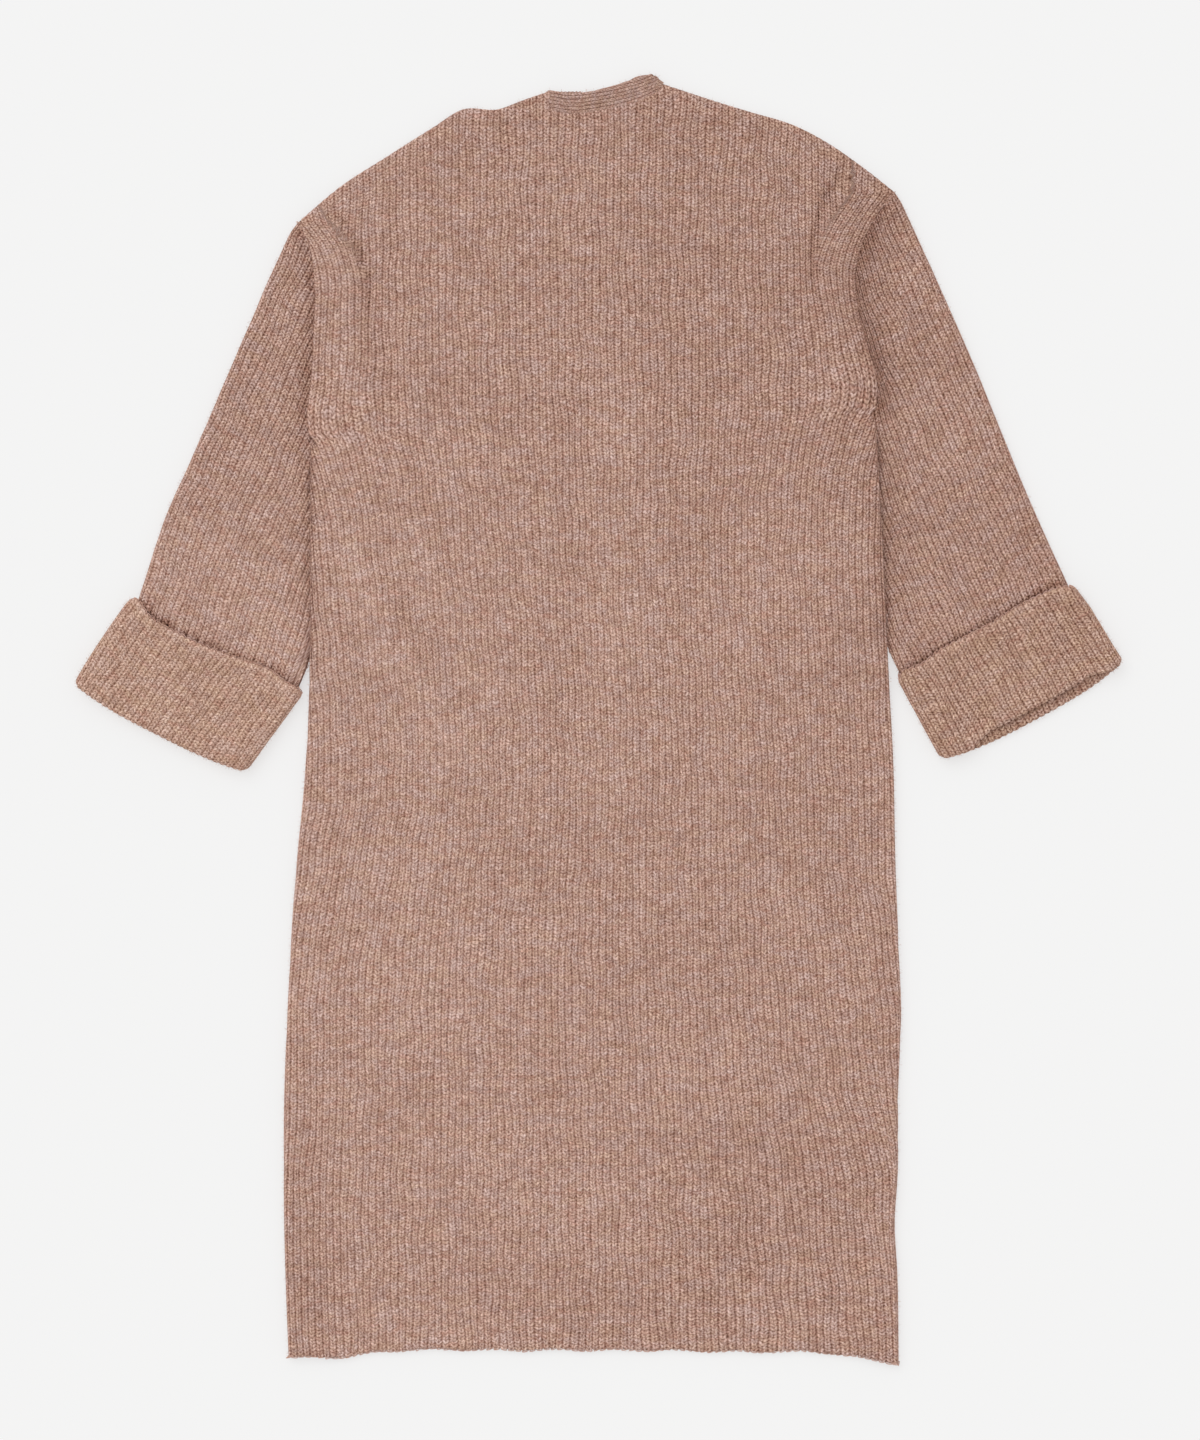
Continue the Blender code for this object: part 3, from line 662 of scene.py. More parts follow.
def courses(y):
    """Courses of knit counted up from the hem."""
    heights, pitch = np.array(COURSE_HEIGHTS), np.array(COURSE_LENGTHS)
    count = np.concatenate([[0], np.cumsum(np.diff(heights) * 2 / (pitch[1:] + pitch[:-1]))])
    return np.interp(y, heights, count)


def shoulder_y(side, x):
    """The shoulder seam, level beyond both its ends."""
    rows = SHOULDERS[side]
    return SHOULDER[side](np.clip(x, rows[0].x, rows[-1].x))


def top_y(x):
    """The back's upper edge: both shoulders with the neck between them."""
    y = NECK_LINE(x)
    for side, sign in SIGNS.items():
        out = sign * x
        end = sign * (NECK_SEAM[-1].x if sign > 0 else NECK_SEAM[0].x)
        share = ease((out - end) / (SHOULDERS[side][0].x - end))
        y = np.where(out > end, mix(y, shoulder_y(side, out), share), y)
    return y


def share_columns(wales, width):
    """Shares of a panel's width: even ones, with a few more close to both edges."""
    near = [0.35 / width, 0.9 / width]
    even = np.linspace(0, 1, wales * COLUMNS_PER_WALE + 1)
    return np.array(sorted([*even, *near, *(1 - share for share in near)]))


def fold_place(side, y):
    """Distance of a shoulder's fold from the armhole: it runs outwards as it rises."""
    fold = SHOULDER_FOLDS[side]
    return fold.start - fold.run * (np.maximum(0, y - fold.low) / SHOULDER_RISE) ** 2


def shoulder_wales(side, x, y, wales):
    """Wales beside a shoulder: upright inside its fold, leaning outwards with the armhole outside it."""
    fold = SHOULDER_FOLDS[side]
    sign = SIGNS[side]
    edge = 0 if sign < 0 else -1
    rise = np.maximum(0, y - fold.low)
    low = int(np.argmin(np.abs(y[:, edge] - fold.low)))
    lean = sign * (ARMHOLE[side](y) - ARMHOLE[side](fold.low))
    lean = lean + sign * fold.lean * (rise / SHOULDER_RISE) ** 2
    upright = np.interp(x, x[low], wales[low])
    leaning = np.interp(x - lean, x[low], wales[low])
    distance = ARMHOLE[side](y) - sign * x
    outside = ease((fold_place(side, y) - distance) / 1.4 + 0.5)
    near = ease((140 - distance) / 60) * ease((y - fold.low) / 8)
    return mix(wales, mix(upright, leaning, outside), near)


def back_panel(sizes):
    """The back: from one side seam and armhole to the other, and from the hem to the shoulders."""
    rows = fine_rows(sizes.row_spacing / MM)
    shares = share_columns(BACK_WALES, BACK_WIDTH)
    y_side = {side: row_y(side, rows) for side in SIGNS}
    x_side = {side: sign * side_line(side, y_side[side]) for side, sign in SIGNS.items()}
    quiet = {side: calm(x_side[side], y_side[side], CALM_REACH) for side in SIGNS}
    u = shares[None, :]
    x = mix(quiet["left"][:, None], quiet["right"][:, None], u)
    width = (quiet["right"] - quiet["left"])[:, None]
    for side, share in (("left", u), ("right", 1 - u)):
        turn = (x_side[side] - quiet[side])[:, None]
        x = x + turn * follow(share * width)
    y = mix(y_side["left"][:, None], y_side["right"][:, None], u)
    tops = mix(y_side["left"][-1], y_side["right"][-1], u)
    top = top_y(x[-1:])
    y = y + arch(rows)[:, None] * (top - tops)
    y = down_to_hem(x, y, rows)
    wales = BACK_WALES * u + 0 * y
    for side in SIGNS:
        wales = shoulder_wales(side, x, y, wales)
    low_right = 3.0 * ease((-230 - y) / 310) * ease((x - 20) / 230)  # the wales lean outwards there
    wales = wales - low_right
    wales = wales + stray(x, y, 1.0) * ease(np.minimum(u, 1 - u) / 0.04)

    # the height, rounded down at every edge
    edges = {"left": x - x_side["left"][:, None], "right": x_side["right"][:, None] - x}
    nearest = np.minimum(edges["left"], edges["right"])
    slope = np.cos(np.arctan(np.gradient(top[0], x[-1])))
    z = upper_z(x, y) + WALL
    z -= round_drop(nearest, SEAM_ROUND)
    for side, edge in edges.items():
        z -= ARMHOLE_STEP * beside_sleeve(side, y) * soft_drop(edge, ARMHOLE_ROUND)
    z -= round_drop(y - y[:1], HEM_ROUND)
    neck = (x[-1] > NECK_SEAM[0].x) & (x[-1] < NECK_SEAM[-1].x)
    beside_neck = np.minimum(np.abs(x[-1] - NECK_SEAM[0].x), np.abs(x[-1] - NECK_SEAM[-1].x))
    radius = np.where(neck | (beside_neck < 5), SEAM_ROUND, SHOULDER_ROUND)[None, :]
    from_top = (y[-1:] - y) * slope[None, :]
    z -= round_drop(from_top, radius)
    row_count = courses(y) + 0.5 * sway(x, y, 1.0)
    for side, edge in edges.items():
        flare = calm(np.gradient(SIGNS[side] * x_side[side], y_side[side]), y_side[side], FLARE_REACH)
        row_count = row_count + 0.5 * lean_courses(flare[:, None], edge)

    # the folds at the shoulders, with painted shade in them and beside the armholes, and painted light on
    # the ridges
    shade = painted_light(x, y) * (1 + RISE_LIGHT * back_rise(x, y))
    for side, edge in edges.items():
        fold = SHOULDER_FOLDS[side]
        on_fold = ease((y - fold.low + 70) / 110) * ease((from_top - 2) / 18)
        groove = on_fold * bump(edge - fold_place(side, y) - 1.0, 3.0)
        shade *= 1 - GROOVE_SHADE * groove
        z -= GROOVE_DEPTH * groove
        shade *= 1 - shadow(BODY_SHADES[side], edge, BODY_SHADE_REACH) * beside_sleeve(side, y)
        shade *= 1 - BODY_SIDE_SHADES[side] * bump(edge, 45) * ease((y - 180) / 60)
    ribs = ease(nearest / 3.0)
    ribs = ribs * np.where(neck[None, :], 1.0, 0.4 + 0.6 * ease(from_top / 7.0))
    return shell(
        "back", sizes, stack(x, y, z), wales, row_count, shade, facing=1, ribs=ribs, line="cast off"
    )


# -------------------------------------------------------------------------------------------- fronts


def band_seam_x(side, y):
    """Outward x of the seam between a front and its band."""
    return SIGNS[side] * OPENING_EDGE[side](y) + BAND_WIDTH + SEAM


def fold_mask(columns):
    """1 on the flat parts of a front, 0 round its side fold."""
    mask = np.ones(columns)
    mask[TOP_COLUMNS : TOP_COLUMNS + FOLD_COLUMNS] = 0
    return mask[None, :]


def front_panel(sizes, side):
    """A front: from the side seam on top, round the side fold, to the seam with its band."""
    sign = SIGNS[side]
    rows = fine_rows(sizes.row_spacing / MM)
    pitch = sizes.wale_pitch / MM
    heights = row_y(side, rows)[:, None]
    first, last = ROWS[side][0], ROWS[side][-1]
    share = (heights - first) / (last - first)
    neck = SHOULDERS[side][0]
    line_end_y = mix(first, neck.y, share)
    line_end_x = band_seam_x(side, line_end_y)
    underarm = UNDERARM_Y[side]
    lift = tuck_lift(side, heights)

    centre = EDGE[side](heights) - FOLD_R
    seam = np.minimum(SIDE_SEAM[side](heights) - LAP, centre - SEAM)
    start = math.pi / 2 * ease((underarm - heights) / 2)

    # on top, from the seam to the fold
    t = np.linspace(0, 1, TOP_COLUMNS)[None, :]
    tops = mix(seam, centre, t)
    top_z = upper_z(sign * tops, heights) + WALL - round_drop(tops - seam, SEAM_ROUND)
    near = np.cos(start)
    top_x = tops + FOLD_R * near * np.ones_like(t)
    top_z = np.where(near > 0.01, lift + FOLD_R * (1 + np.sin(start)), top_z)
    top_wale = (tops - seam) / pitch

    # round the fold
    t = (np.arange(1, FOLD_COLUMNS + 1) / FOLD_COLUMNS)[None, :]
    angle = start - (start + math.pi / 2) * t
    fold_x = centre + FOLD_R * np.cos(angle)
    fold_z = lift + FOLD_R * (1 + np.sin(angle))
    fold_wale = top_wale[:, -1:] + (start - angle) * FOLD_R / pitch

    # the same columns above the underarm, flat beside the armhole
    count = TOP_COLUMNS + FOLD_COLUMNS
    flat_t = np.linspace(0, 1, count)[None, :]
    armhole = ARMHOLE[side](heights) - SEAM
    inset = outline_x(side, heights) - TUCK_FLAT
    flat_x = mix(armhole, inset, flat_t)
    wrapped = np.concatenate([top_x, fold_x], axis=1)
    wrapped_z = np.concatenate([top_z, fold_z], axis=1)
    wales = np.concatenate([top_wale, fold_wale], axis=1)
    above = ease((heights - underarm) / FRONT_BLEND)
    side_x = mix(wrapped, flat_x, above)
    side_z = mix(wrapped_z, 0.0, above)
    fold_end = FOLD_R * math.pi / 2 / pitch
    flat_wale = fold_end - (count - np.arange(1, count + 1)[None, :]) / (COLUMNS_PER_WALE + 1)
    wales = mix(wales, flat_wale, above)

    # underneath, from the fold to the band
    columns = FRONT_WALES * FRONT_COLUMNS_PER_WALE
    t = (np.arange(1, columns + 1) / columns)[None, :]
    low_x = mix(side_x[:, -1:], line_end_x, t)
    line_y = mix(heights, line_end_y, t)
    bend = shoulder_y(side, low_x[-1:]) - mix(last, neck.y, t)
    line_y = line_y + arch(rows)[:, None] * bend
    low_z = under_z(side, sign * low_x, line_y)
    strip = (wales[:, -1:] - fold_end) * (1 - t) ** 2
    low_wale = fold_end + FRONT_WALES * t + strip

    x = np.concatenate([side_x, low_x], axis=1)
    y = np.concatenate([heights + 0 * side_x, line_y], axis=1)
    z = np.concatenate([side_z, low_z], axis=1)
    wales = np.concatenate([wales, low_wale], axis=1)
    y = down_to_hem(sign * x, y, rows)

    # the lower face is rounded up at the armhole, the shoulder, the band seam and the hem
    edge = np.abs(x - line_end_x)
    under = np.arange(x.shape[1])[None, :] > TOP_COLUMNS + FOLD_COLUMNS
    z = z + np.where(under, round_drop(edge, BAND_ROUND), 0)
    z = z + np.where(heights > underarm, round_drop(armhole - x, FRONT_ARMHOLE_ROUND), 0)
    face_down = under | (heights > underarm)
    inwards = np.where(face_down, 1.0, -1.0) * fold_mask(x.shape[1])
    z = z + inwards * round_drop(y - y[:1], FRONT_HEM_ROUND)
    z = z + np.where(face_down, round_drop(y[-1:] - y, FRONT_SHOULDER_ROUND), 0)
    row_count = courses(y) + 0.5 * sway(sign * x, y, 2.0 + sign)
    on_top = (np.arange(x.shape[1])[None, :] < TOP_COLUMNS) & (heights < underarm)
    # painted shade along the side seam on top and round the side fold over the sleeve
    shade = painted_light(sign * x, y) * (1 - 0.04 * bump(x - seam, 1.6) * on_top)
    fold = FOLD_SHADES[side]
    in_fold = shadow(fold.body, EDGE[side](heights) - x, fold.body_reach)
    shade *= 1 - in_fold * over_sleeve(side, heights)
    wales = wales + stray(x, y, 2.0 + sign) * ease((x - seam) / 10) * on_top
    ribs = np.where(on_top, ease((x - seam) / 3.0), 1.0)
    points = stack(sign * x, y, z)
    return shell(
        "front_" + side, sizes, points, sign * wales, row_count, shade, sign, ribs=ribs,
        line="cast off",
    )


# --------------------------------------------------------------------------------------------- bands


def front_band(sizes, side):
    """A front band: from its free edge at the opening to its seam with the front."""
    sign = SIGNS[side]
    rows = fine_rows(sizes.row_spacing / MM * BAND_ROW_SPACING)
    heights = row_y(side, rows)[:, None]
    first, last = ROWS[side][0], ROWS[side][-1]
    y = mix(first, SHOULDERS[side][0].y, (heights - first) / (last - first))
    t = np.linspace(0, 1, BAND_COLUMNS + 1)[None, :]
    edge = OPENING_EDGE[side](y)
    x = edge + sign * (BAND_WIDTH + LAP) * t
    y = y + 0 * x
    y = down_to_hem(x, y, rows)
    across = np.abs(x - edge)
    z = round_drop(np.minimum(across, BAND_WIDTH - SEAM - across), BAND_ROUND)
    z = z + round_drop(y - y[:1], BAND_END_ROUND) + round_drop(y[-1:] - y, BAND_END_ROUND)
    wales = across / (sizes.band_wale_pitch / MM)
    row_count = courses(y) * BAND_COURSES
    return shell("band_" + side, sizes, stack(x, y, z), wales, row_count, painted_light(x, y), -sign)


def neckband(sizes):
    """The band across the back neck, ribbed along its length, a little above its seam."""
    t = np.linspace(-0.02, 1, 61)
    seam_x = mix(NECK_SEAM[0].x, NECK_SEAM[-1].x, t)
    seam_y = NECK_LINE(seam_x) - NECK_LAP
    edge_x = mix(NECK_EDGE[0].x, NECK_EDGE[-1].x, t)
    edge_y = curve(NECK_EDGE, "x", "y")(edge_x) - 1.3 * ease((edge_x - 49) / 6)  # lower at its right end
    up = np.array(sorted([*np.linspace(0, 1, 43), 0.01, 0.035, 0.965, 0.99]))[:, None]
    x = mix(seam_x[None, :], edge_x[None, :], up)
    y = mix(seam_y[None, :], edge_y[None, :], up)
    width = np.hypot(edge_x - seam_x, edge_y - seam_y)[None, :]
    z = WALL + GAP + WALL + 0.3 * ease((-36 - x) / 4)
    z = z - round_drop(up * width, SEAM_ROUND) - round_drop((1 - up) * width, NECK_EDGE_ROUND)
    z = z - round_drop(np.minimum(x - x[:, :1], x[:, -1:] - x), SEAM_ROUND)
    wales = up * width / (sizes.band_wale_pitch / MM) + 0 * x
    shade = 1.06 - 0.12 * bump(up * width, 1.2)  # painted shade beside the seam
    return shell("neckband", sizes, stack(x, y, z), wales, x / NECK_COURSE, shade, 1, line="linked")


# ------------------------------------------------------------------------------------ sleeves, cuffs


def bow(w):
    """1 in the middle, fading to 0 at both ends."""
    return 1 - np.abs(2 * w - 1) ** 3


def cuff_middle(side):
    """The middles of the cuff's free edge and of its hem."""
    corners = CUFFS[side]
    top = mix(corners.top_outer, corners.top_inner, 0.5)
    return top, mix(corners.hem_outer, corners.hem_inner, 0.5)


def cuff_length(side):
    """How far a cuff's hem lies from its free edge."""
    top, hem = cuff_middle(side)
    return np.linalg.norm(hem - top)


def cuff_point(side, up, w):
    """A point of the cuff's width at a distance up from its hem, w from inner (0) to outer (1) side."""
    corners = CUFFS[side]
    top, hem = cuff_middle(side)
    length = cuff_length(side)
    t = np.asarray(up)[..., None] / length
    w = np.asarray(w)[..., None]
    w = w + CUFF_INSETS[side] / CUFF_WIDTH * (1 - w) * (1 - t)
    inner = np.array(corners.hem_inner) * (1 - t) + np.array(corners.top_inner) * t
    outer = np.array(corners.hem_outer) * (1 - t) + np.array(corners.top_outer) * t
    down = (hem - top) / length * corners.bow * (1 - t)
    return inner * (1 - w) + outer * w + down * bow(w)


def resample(points, count):
    """Points at even steps along a polyline."""
    points = np.asarray(points, float)
    step = np.concatenate([[0], np.cumsum(np.linalg.norm(np.diff(points, axis=0), axis=1))])
    at = np.linspace(0, step[-1], count)
    return np.stack([np.interp(at, step, points[:, k]) for k in range(2)], axis=1)


def soften(points, reach):
    """The same evenly spaced points with their corners rounded, and both ends kept."""
    count = len(points)
    index = np.arange(count)
    keep = np.minimum(index, count - 1 - index)
    out = points.copy()
    for i in range(1, count - 1):
        span = min(keep[i], 3 * reach)
        window = points[i - span : i + span + 1]
        weights = bump(np.arange(-span, span + 1), reach)
        out[i] = (window * weights[:, None]).sum(axis=0) / weights.sum()
    return out


def line_distance(line, x, y):
    """How far each point lies from a line through the given points."""
    way = np.diff(line, axis=0)
    gap_x = x[..., None] - line[:-1, 0]
    gap_y = y[..., None] - line[:-1, 1]
    share = np.clip((gap_x * way[:, 0] + gap_y * way[:, 1]) / (way**2).sum(axis=1), 0, 1)
    return np.hypot(gap_x - share * way[:, 0], gap_y - share * way[:, 1]).min(axis=-1)


class SleeveFrame:
    """Coordinates on a flattened sleeve: s along its outer fold, t inwards from it."""

    def __init__(self, side):
        """Lays out the outer fold from the shoulder into the cuff, and then the edge across from it."""
        rows = SLEEVES[side]
        length = cuff_length(side)
        end_up = FOLD_R + CUFF_RETURN + GAP
        inset = (CUFF_R - FOLD_R) / CUFF_WIDTH
        outer_share = 1 - inset - CUFF_CLEAR[side] / CUFF_WIDTH
        outer_top = cuff_point(side, length, outer_share)
        outer_end = cuff_point(side, end_up, outer_share)
        alongs = np.linspace(0, 1, 60)
        ends = rows + [SleeveRow(1.0, *outer_top, 0, 0)]
        xs = curve(ends, "along", "outer_x")(alongs)
        ys = curve(ends, "along", "outer_y")(alongs)
        way_down = np.array([xs[-1] - xs[-4], ys[-1] - ys[-4]])
        way_down /= np.linalg.norm(way_down)
        under = outer_top + way_down * UNDER_CUFF
        rest = (outer_end - outer_top) * (1 - UNDER_CUFF / np.linalg.norm(outer_end - outer_top))
        turned = [under + rest * k / 12 for k in range(13)]
        self.line = soften(resample([*zip(xs, ys), *turned], 500), 9)
        steps = np.linalg.norm(np.diff(self.line, axis=0), axis=1)
        self.s = np.concatenate([[0], np.cumsum(steps)])
        way = np.gradient(self.line, self.s, axis=0)
        way /= np.linalg.norm(way, axis=1)[:, None]
        self.inward = np.stack([way[:, 1], -way[:, 0]], axis=1)
        full = SHOULDER_FULLNESS[side] * ease(self.s / 12) * np.exp(-self.s / 45)
        self.line = self.line - self.inward * full[:, None]

        # the other edge: down the armhole, then along the inner fold
        heights = np.linspace(SHOULDER_Y[side], UNDERARM_Y[side], 60)
        seam = np.stack([ARMHOLE[side](heights) - ARMHOLE_LAP, heights], axis=1)
        inner_top = cuff_point(side, length, inset)
        inner_y = curve(rows + [SleeveRow(1.0, 0, 0, inner_top[1], 0)], "along", "inner_y")(alongs)
        tuck = curve(rows, "along", "tuck")(np.minimum(alongs, rows[-1].along))
        free = (alongs - rows[-1].along) / (1 - rows[-1].along)
        fading = 1 - ease(alongs / UNDERARM_REACH)
        hung = EDGE[side](inner_y) - tuck - CROTCH_LAP - UNDERARM_LAP * fading
        at_last = EDGE[side](rows[-1].inner_y) - rows[-1].tuck - CROTCH_LAP
        inner_x = np.where(free > 0, mix(at_last, inner_top[0], np.clip(free, 0, 1)), hung)
        inner = np.stack([inner_x, inner_y], axis=1)
        inside = np.array([mix(inner_top, cuff_point(side, end_up, inset), k / 12) for k in range(1, 13)])
        self.fold = soften(resample(np.concatenate([inner, inside]), 160), 5)
        border = np.concatenate([seam[:-1], self.fold])
        s, t = self.project(border)
        self.border_t = np.maximum.accumulate(np.maximum(t, 0))
        self.border_s = s
        self.wide = self.border_t[-1]
        fold_s, fold_t = self.project(self.fold)
        order = np.argsort(fold_s)
        self.fold_s, self.fold_t = fold_s[order], fold_t[order]
        self.cuff_s = float(self.project(np.array([outer_top]))[0][0])
        self.end_s = self.s[-1]

    def project(self, points):
        """s and t of points near the sleeve."""
        gap = points[:, None, :] - self.line[None, :, :]
        nearest = np.argmin((gap**2).sum(axis=2), axis=1)
        step = gap[np.arange(len(points)), nearest]
        inward = self.inward[nearest]
        along = np.stack([-inward[:, 1], inward[:, 0]], axis=1)
        return self.s[nearest] + (step * along).sum(axis=1), (step * inward).sum(axis=1)

    def point(self, s, t):
        """The x and y of places on the sleeve."""
        x = np.interp(s, self.s, self.line[:, 0]) + t * np.interp(s, self.s, self.inward[:, 0])
        y = np.interp(s, self.s, self.line[:, 1]) + t * np.interp(s, self.s, self.inward[:, 1])
        return x, y

    def start(self, t):
        """The s at which the sleeve begins at the armhole or at its inner fold."""
        return np.interp(t, self.border_t, self.border_s)

    def squeeze(self, s):
        """The sleeve's width as a share of the widest above it."""
        width = np.interp(s, self.fold_s, self.fold_t)
        widest = np.interp(s, self.fold_s, np.maximum.accumulate(self.fold_t))
        return np.minimum(1, width / widest)


def sleeve(sizes, side):
    """A sleeve: a flattened tube whose two halves meet in its inner fold, from armhole to cuff.

    The columns run round it, c, from the inner fold below over the outer one at 0 to the top, and the
    rows down it, closer at the armhole.
    """
    sign = SIGNS[side]
    plan = SleeveFrame(side)
    pitch = sizes.wale_pitch / MM
    quarter = FOLD_R * math.pi / 2
    reach = plan.wide - FOLD_R + quarter
    count = round(2 * reach / pitch)
    c = np.linspace(-reach, reach, count * COLUMNS_PER_WALE + 1)[None, :]
    angle = np.clip(c / FOLD_R, -math.pi / 2, math.pi / 2)
    t = np.where(np.abs(c) < quarter, FOLD_R * (1 - np.cos(angle)), np.abs(c) - quarter + FOLD_R)
    shares = np.concatenate([SLEEVE_ROWS_AT_SEAM, np.linspace(0.018, 1, SLEEVE_ROWS)])
    r = shares[:, None] ** 1.15
    begin = plan.start(t)
    s = begin + (plan.end_s - begin) * r
    side_x, side_y = plan.point(s, t * plan.squeeze(s))

    # the height, lower at the armhole and closed at the inner fold
    inner = line_distance(plan.fold, side_x, side_y)
    inner[:, [0, -1]] = 0.0  # the upper and the lower half meet in the fold
    middle = FOLD_R + (CUFF_R - FOLD_R) * ease(1 - (plan.cuff_s - s) / CUFF_RAMP)
    from_seam = s - begin
    sag = ease(from_seam / 60.0)
    inset = np.minimum(t, inner)
    drop = OPEN * sag * (1 - fall(inset, 0.0, SOFT_REACH / 2)) + ARMHOLE_STEP * bump(from_seam, 9.0)
    drop = drop + ARMHOLE_UNDER * bump(from_seam, 2.0)
    tight = np.sqrt(1 - (1 - np.clip(inner / FOLD_R, 0, 1)) ** 2)
    radius = FOLD_R * tight
    upper = np.sin(angle) * radius - np.where(c > 0, drop * ease(c / 20) * tight, 0)
    z = middle + upper
    ends = round_drop(plan.end_s - s, SLEEVE_END_ROUND)
    z = z - np.sign(c) * ends * (np.abs(c) > quarter) * tight

    # the knit's map and its light
    wales = c / pitch + count / 2 + SLEEVE_LEANS[side] * np.exp(-from_seam / 25.0) * ease(c / 60)
    step = np.hypot(np.diff(side_x, axis=0), np.diff(side_y, axis=0))
    length = np.concatenate([begin + 0 * side_x[:1], step]).cumsum(axis=0)
    rows = length / COURSE + 0.5 * sway(c, s, 3.0 + sign)
    top = ease(c / 6 + 0.5)
    shade = sleeve_shade(side, side_x, side_y, t, top)
    wales = wales + 1.2 * stray(c, s, 3.0 + sign)
    ribs = ease(from_seam / 3.0)
    points = stack(sign * side_x, side_y, z)
    return shell(
        "sleeve_" + side, sizes, points, sign * wales, rows, shade, sign, ribs=ribs, line="linked"
    )


def from_armhole(side, x, y):
    """Distance of a point from the armhole's seam."""
    heights = np.linspace(SHOULDER_Y[side], UNDERARM_Y[side], 60)
    return line_distance(np.stack([ARMHOLE[side](heights), heights], axis=1), x, y)


def sleeve_shade(side, x, y, t, top):
    """Painted shade of the sleeve: darker beside the armhole, under the body's side and beside the cuff,
    with its painted light.
    """
    seam = ARMHOLE_SHADES[side]
    armhole = shadow(seam.depth, from_armhole(side, x, y), seam.reach)
    armhole *= 0.45 + 0.55 * ease((SHOULDER_Y[side] - y) / 35)
    fold = FOLD_SHADES[side]
    beyond = np.maximum(x - EDGE[side](y), 0)
    beside_fold = shadow(fold.sleeve, beyond, fold.sleeve_reach) * over_sleeve(side, y)
    to_cuff = above_cuff(side, x, y)
    beside_cuff = 0.75 * bump(to_cuff - 0.6, 2.5) * (0.8 + 0.2 * fall(t, 30, 140))
    beside_cuff = beside_cuff + 0.06 * bump(to_cuff, 8.0)
    hole = HOLE_SHADES[side] * bump(t - 4, 5) * bump(to_cuff - 1.5, 3)
    lost = np.minimum(np.maximum(armhole, beside_fold) + beside_cuff + hole, DARKEST)
    high = ease((y - 120) / 130) * SLEEVE_TOP_SHADES[side]
    return (1 - top * lost) * SLEEVE_LIGHTS[side] * (1 - high)


def above_cuff(side, x, y):
    """How far a point of the sleeve lies above its cuff's free edge."""
    inner, outer = np.array(CUFFS[side].top_inner), np.array(CUFFS[side].top_outer)
    width = np.linalg.norm(outer - inner)
    across = (outer - inner) / width
    share = np.clip(((x - inner[0]) * across[0] + (y - inner[1]) * across[1]) / width, 0, 1)
    corner = round_drop(np.minimum(share, 1 - share) * CUFF_WIDTH, EDGE_CORNERS[side])
    above = (y - inner[1]) * across[0] - (x - inner[0]) * across[1]
    return above + cuff_sag(side, share) + corner


def cuff_sag(side, share):
    """How far a cuff's free edge hangs below a straight line, across the cuff."""
    return curve(CUFF_EDGES[side], "share", "sag")(np.clip(share, 0, 1))


def cuff_ring(side, up, radius, shares):
    """A flattened ring round the cuff, at each distance up from its hem and each radius.

    The shares run from the middle of the inner fold over the top, round the outer fold and back.
    """
    flat = CUFF_WIDTH - 2 * CUFF_R
    round_length = math.pi * CUFF_R
    whole = 2 * (flat + round_length)
    c = shares * whole
    inner_half = round_length / 2
    on_top = np.clip((c - inner_half) / flat, 0, 1)
    below = np.clip((c - inner_half - flat - round_length) / flat, 0, 1)
    w = np.where(c < inner_half + flat + round_length / 2, on_top, 1 - below)
    angle = np.select(
        [
            c < inner_half,
            c < inner_half + flat,
            c < inner_half + flat + round_length,
            c < inner_half + 2 * flat + round_length,
        ],
        [
            math.pi - c / CUFF_R,
            math.pi / 2,
            math.pi / 2 - (c - inner_half - flat) / CUFF_R,
            -math.pi / 2,
        ],
        -math.pi / 2 - (c - inner_half - 2 * flat - round_length) / CUFF_R,
    )
    inset = CUFF_R / CUFF_WIDTH
    share = inset + w * (1 - 2 * inset)
    place = cuff_point(side, up, share + 0 * up)
    ahead = cuff_point(side, up, share + 0.001 + 0 * up) - place
    ahead /= np.linalg.norm(ahead, axis=-1)[..., None]
    place = place + ahead * (radius * np.cos(angle))[..., None]
    z = CUFF_R + radius * np.sin(angle)
    from_side = np.minimum(w, 1 - w) * flat
    z = z - np.where(np.sin(angle) > 0.99, OPEN * (1 - fall(from_side, 0, SOFT_REACH / 2)), 0)
    return place[..., 0], place[..., 1], z, w, angle


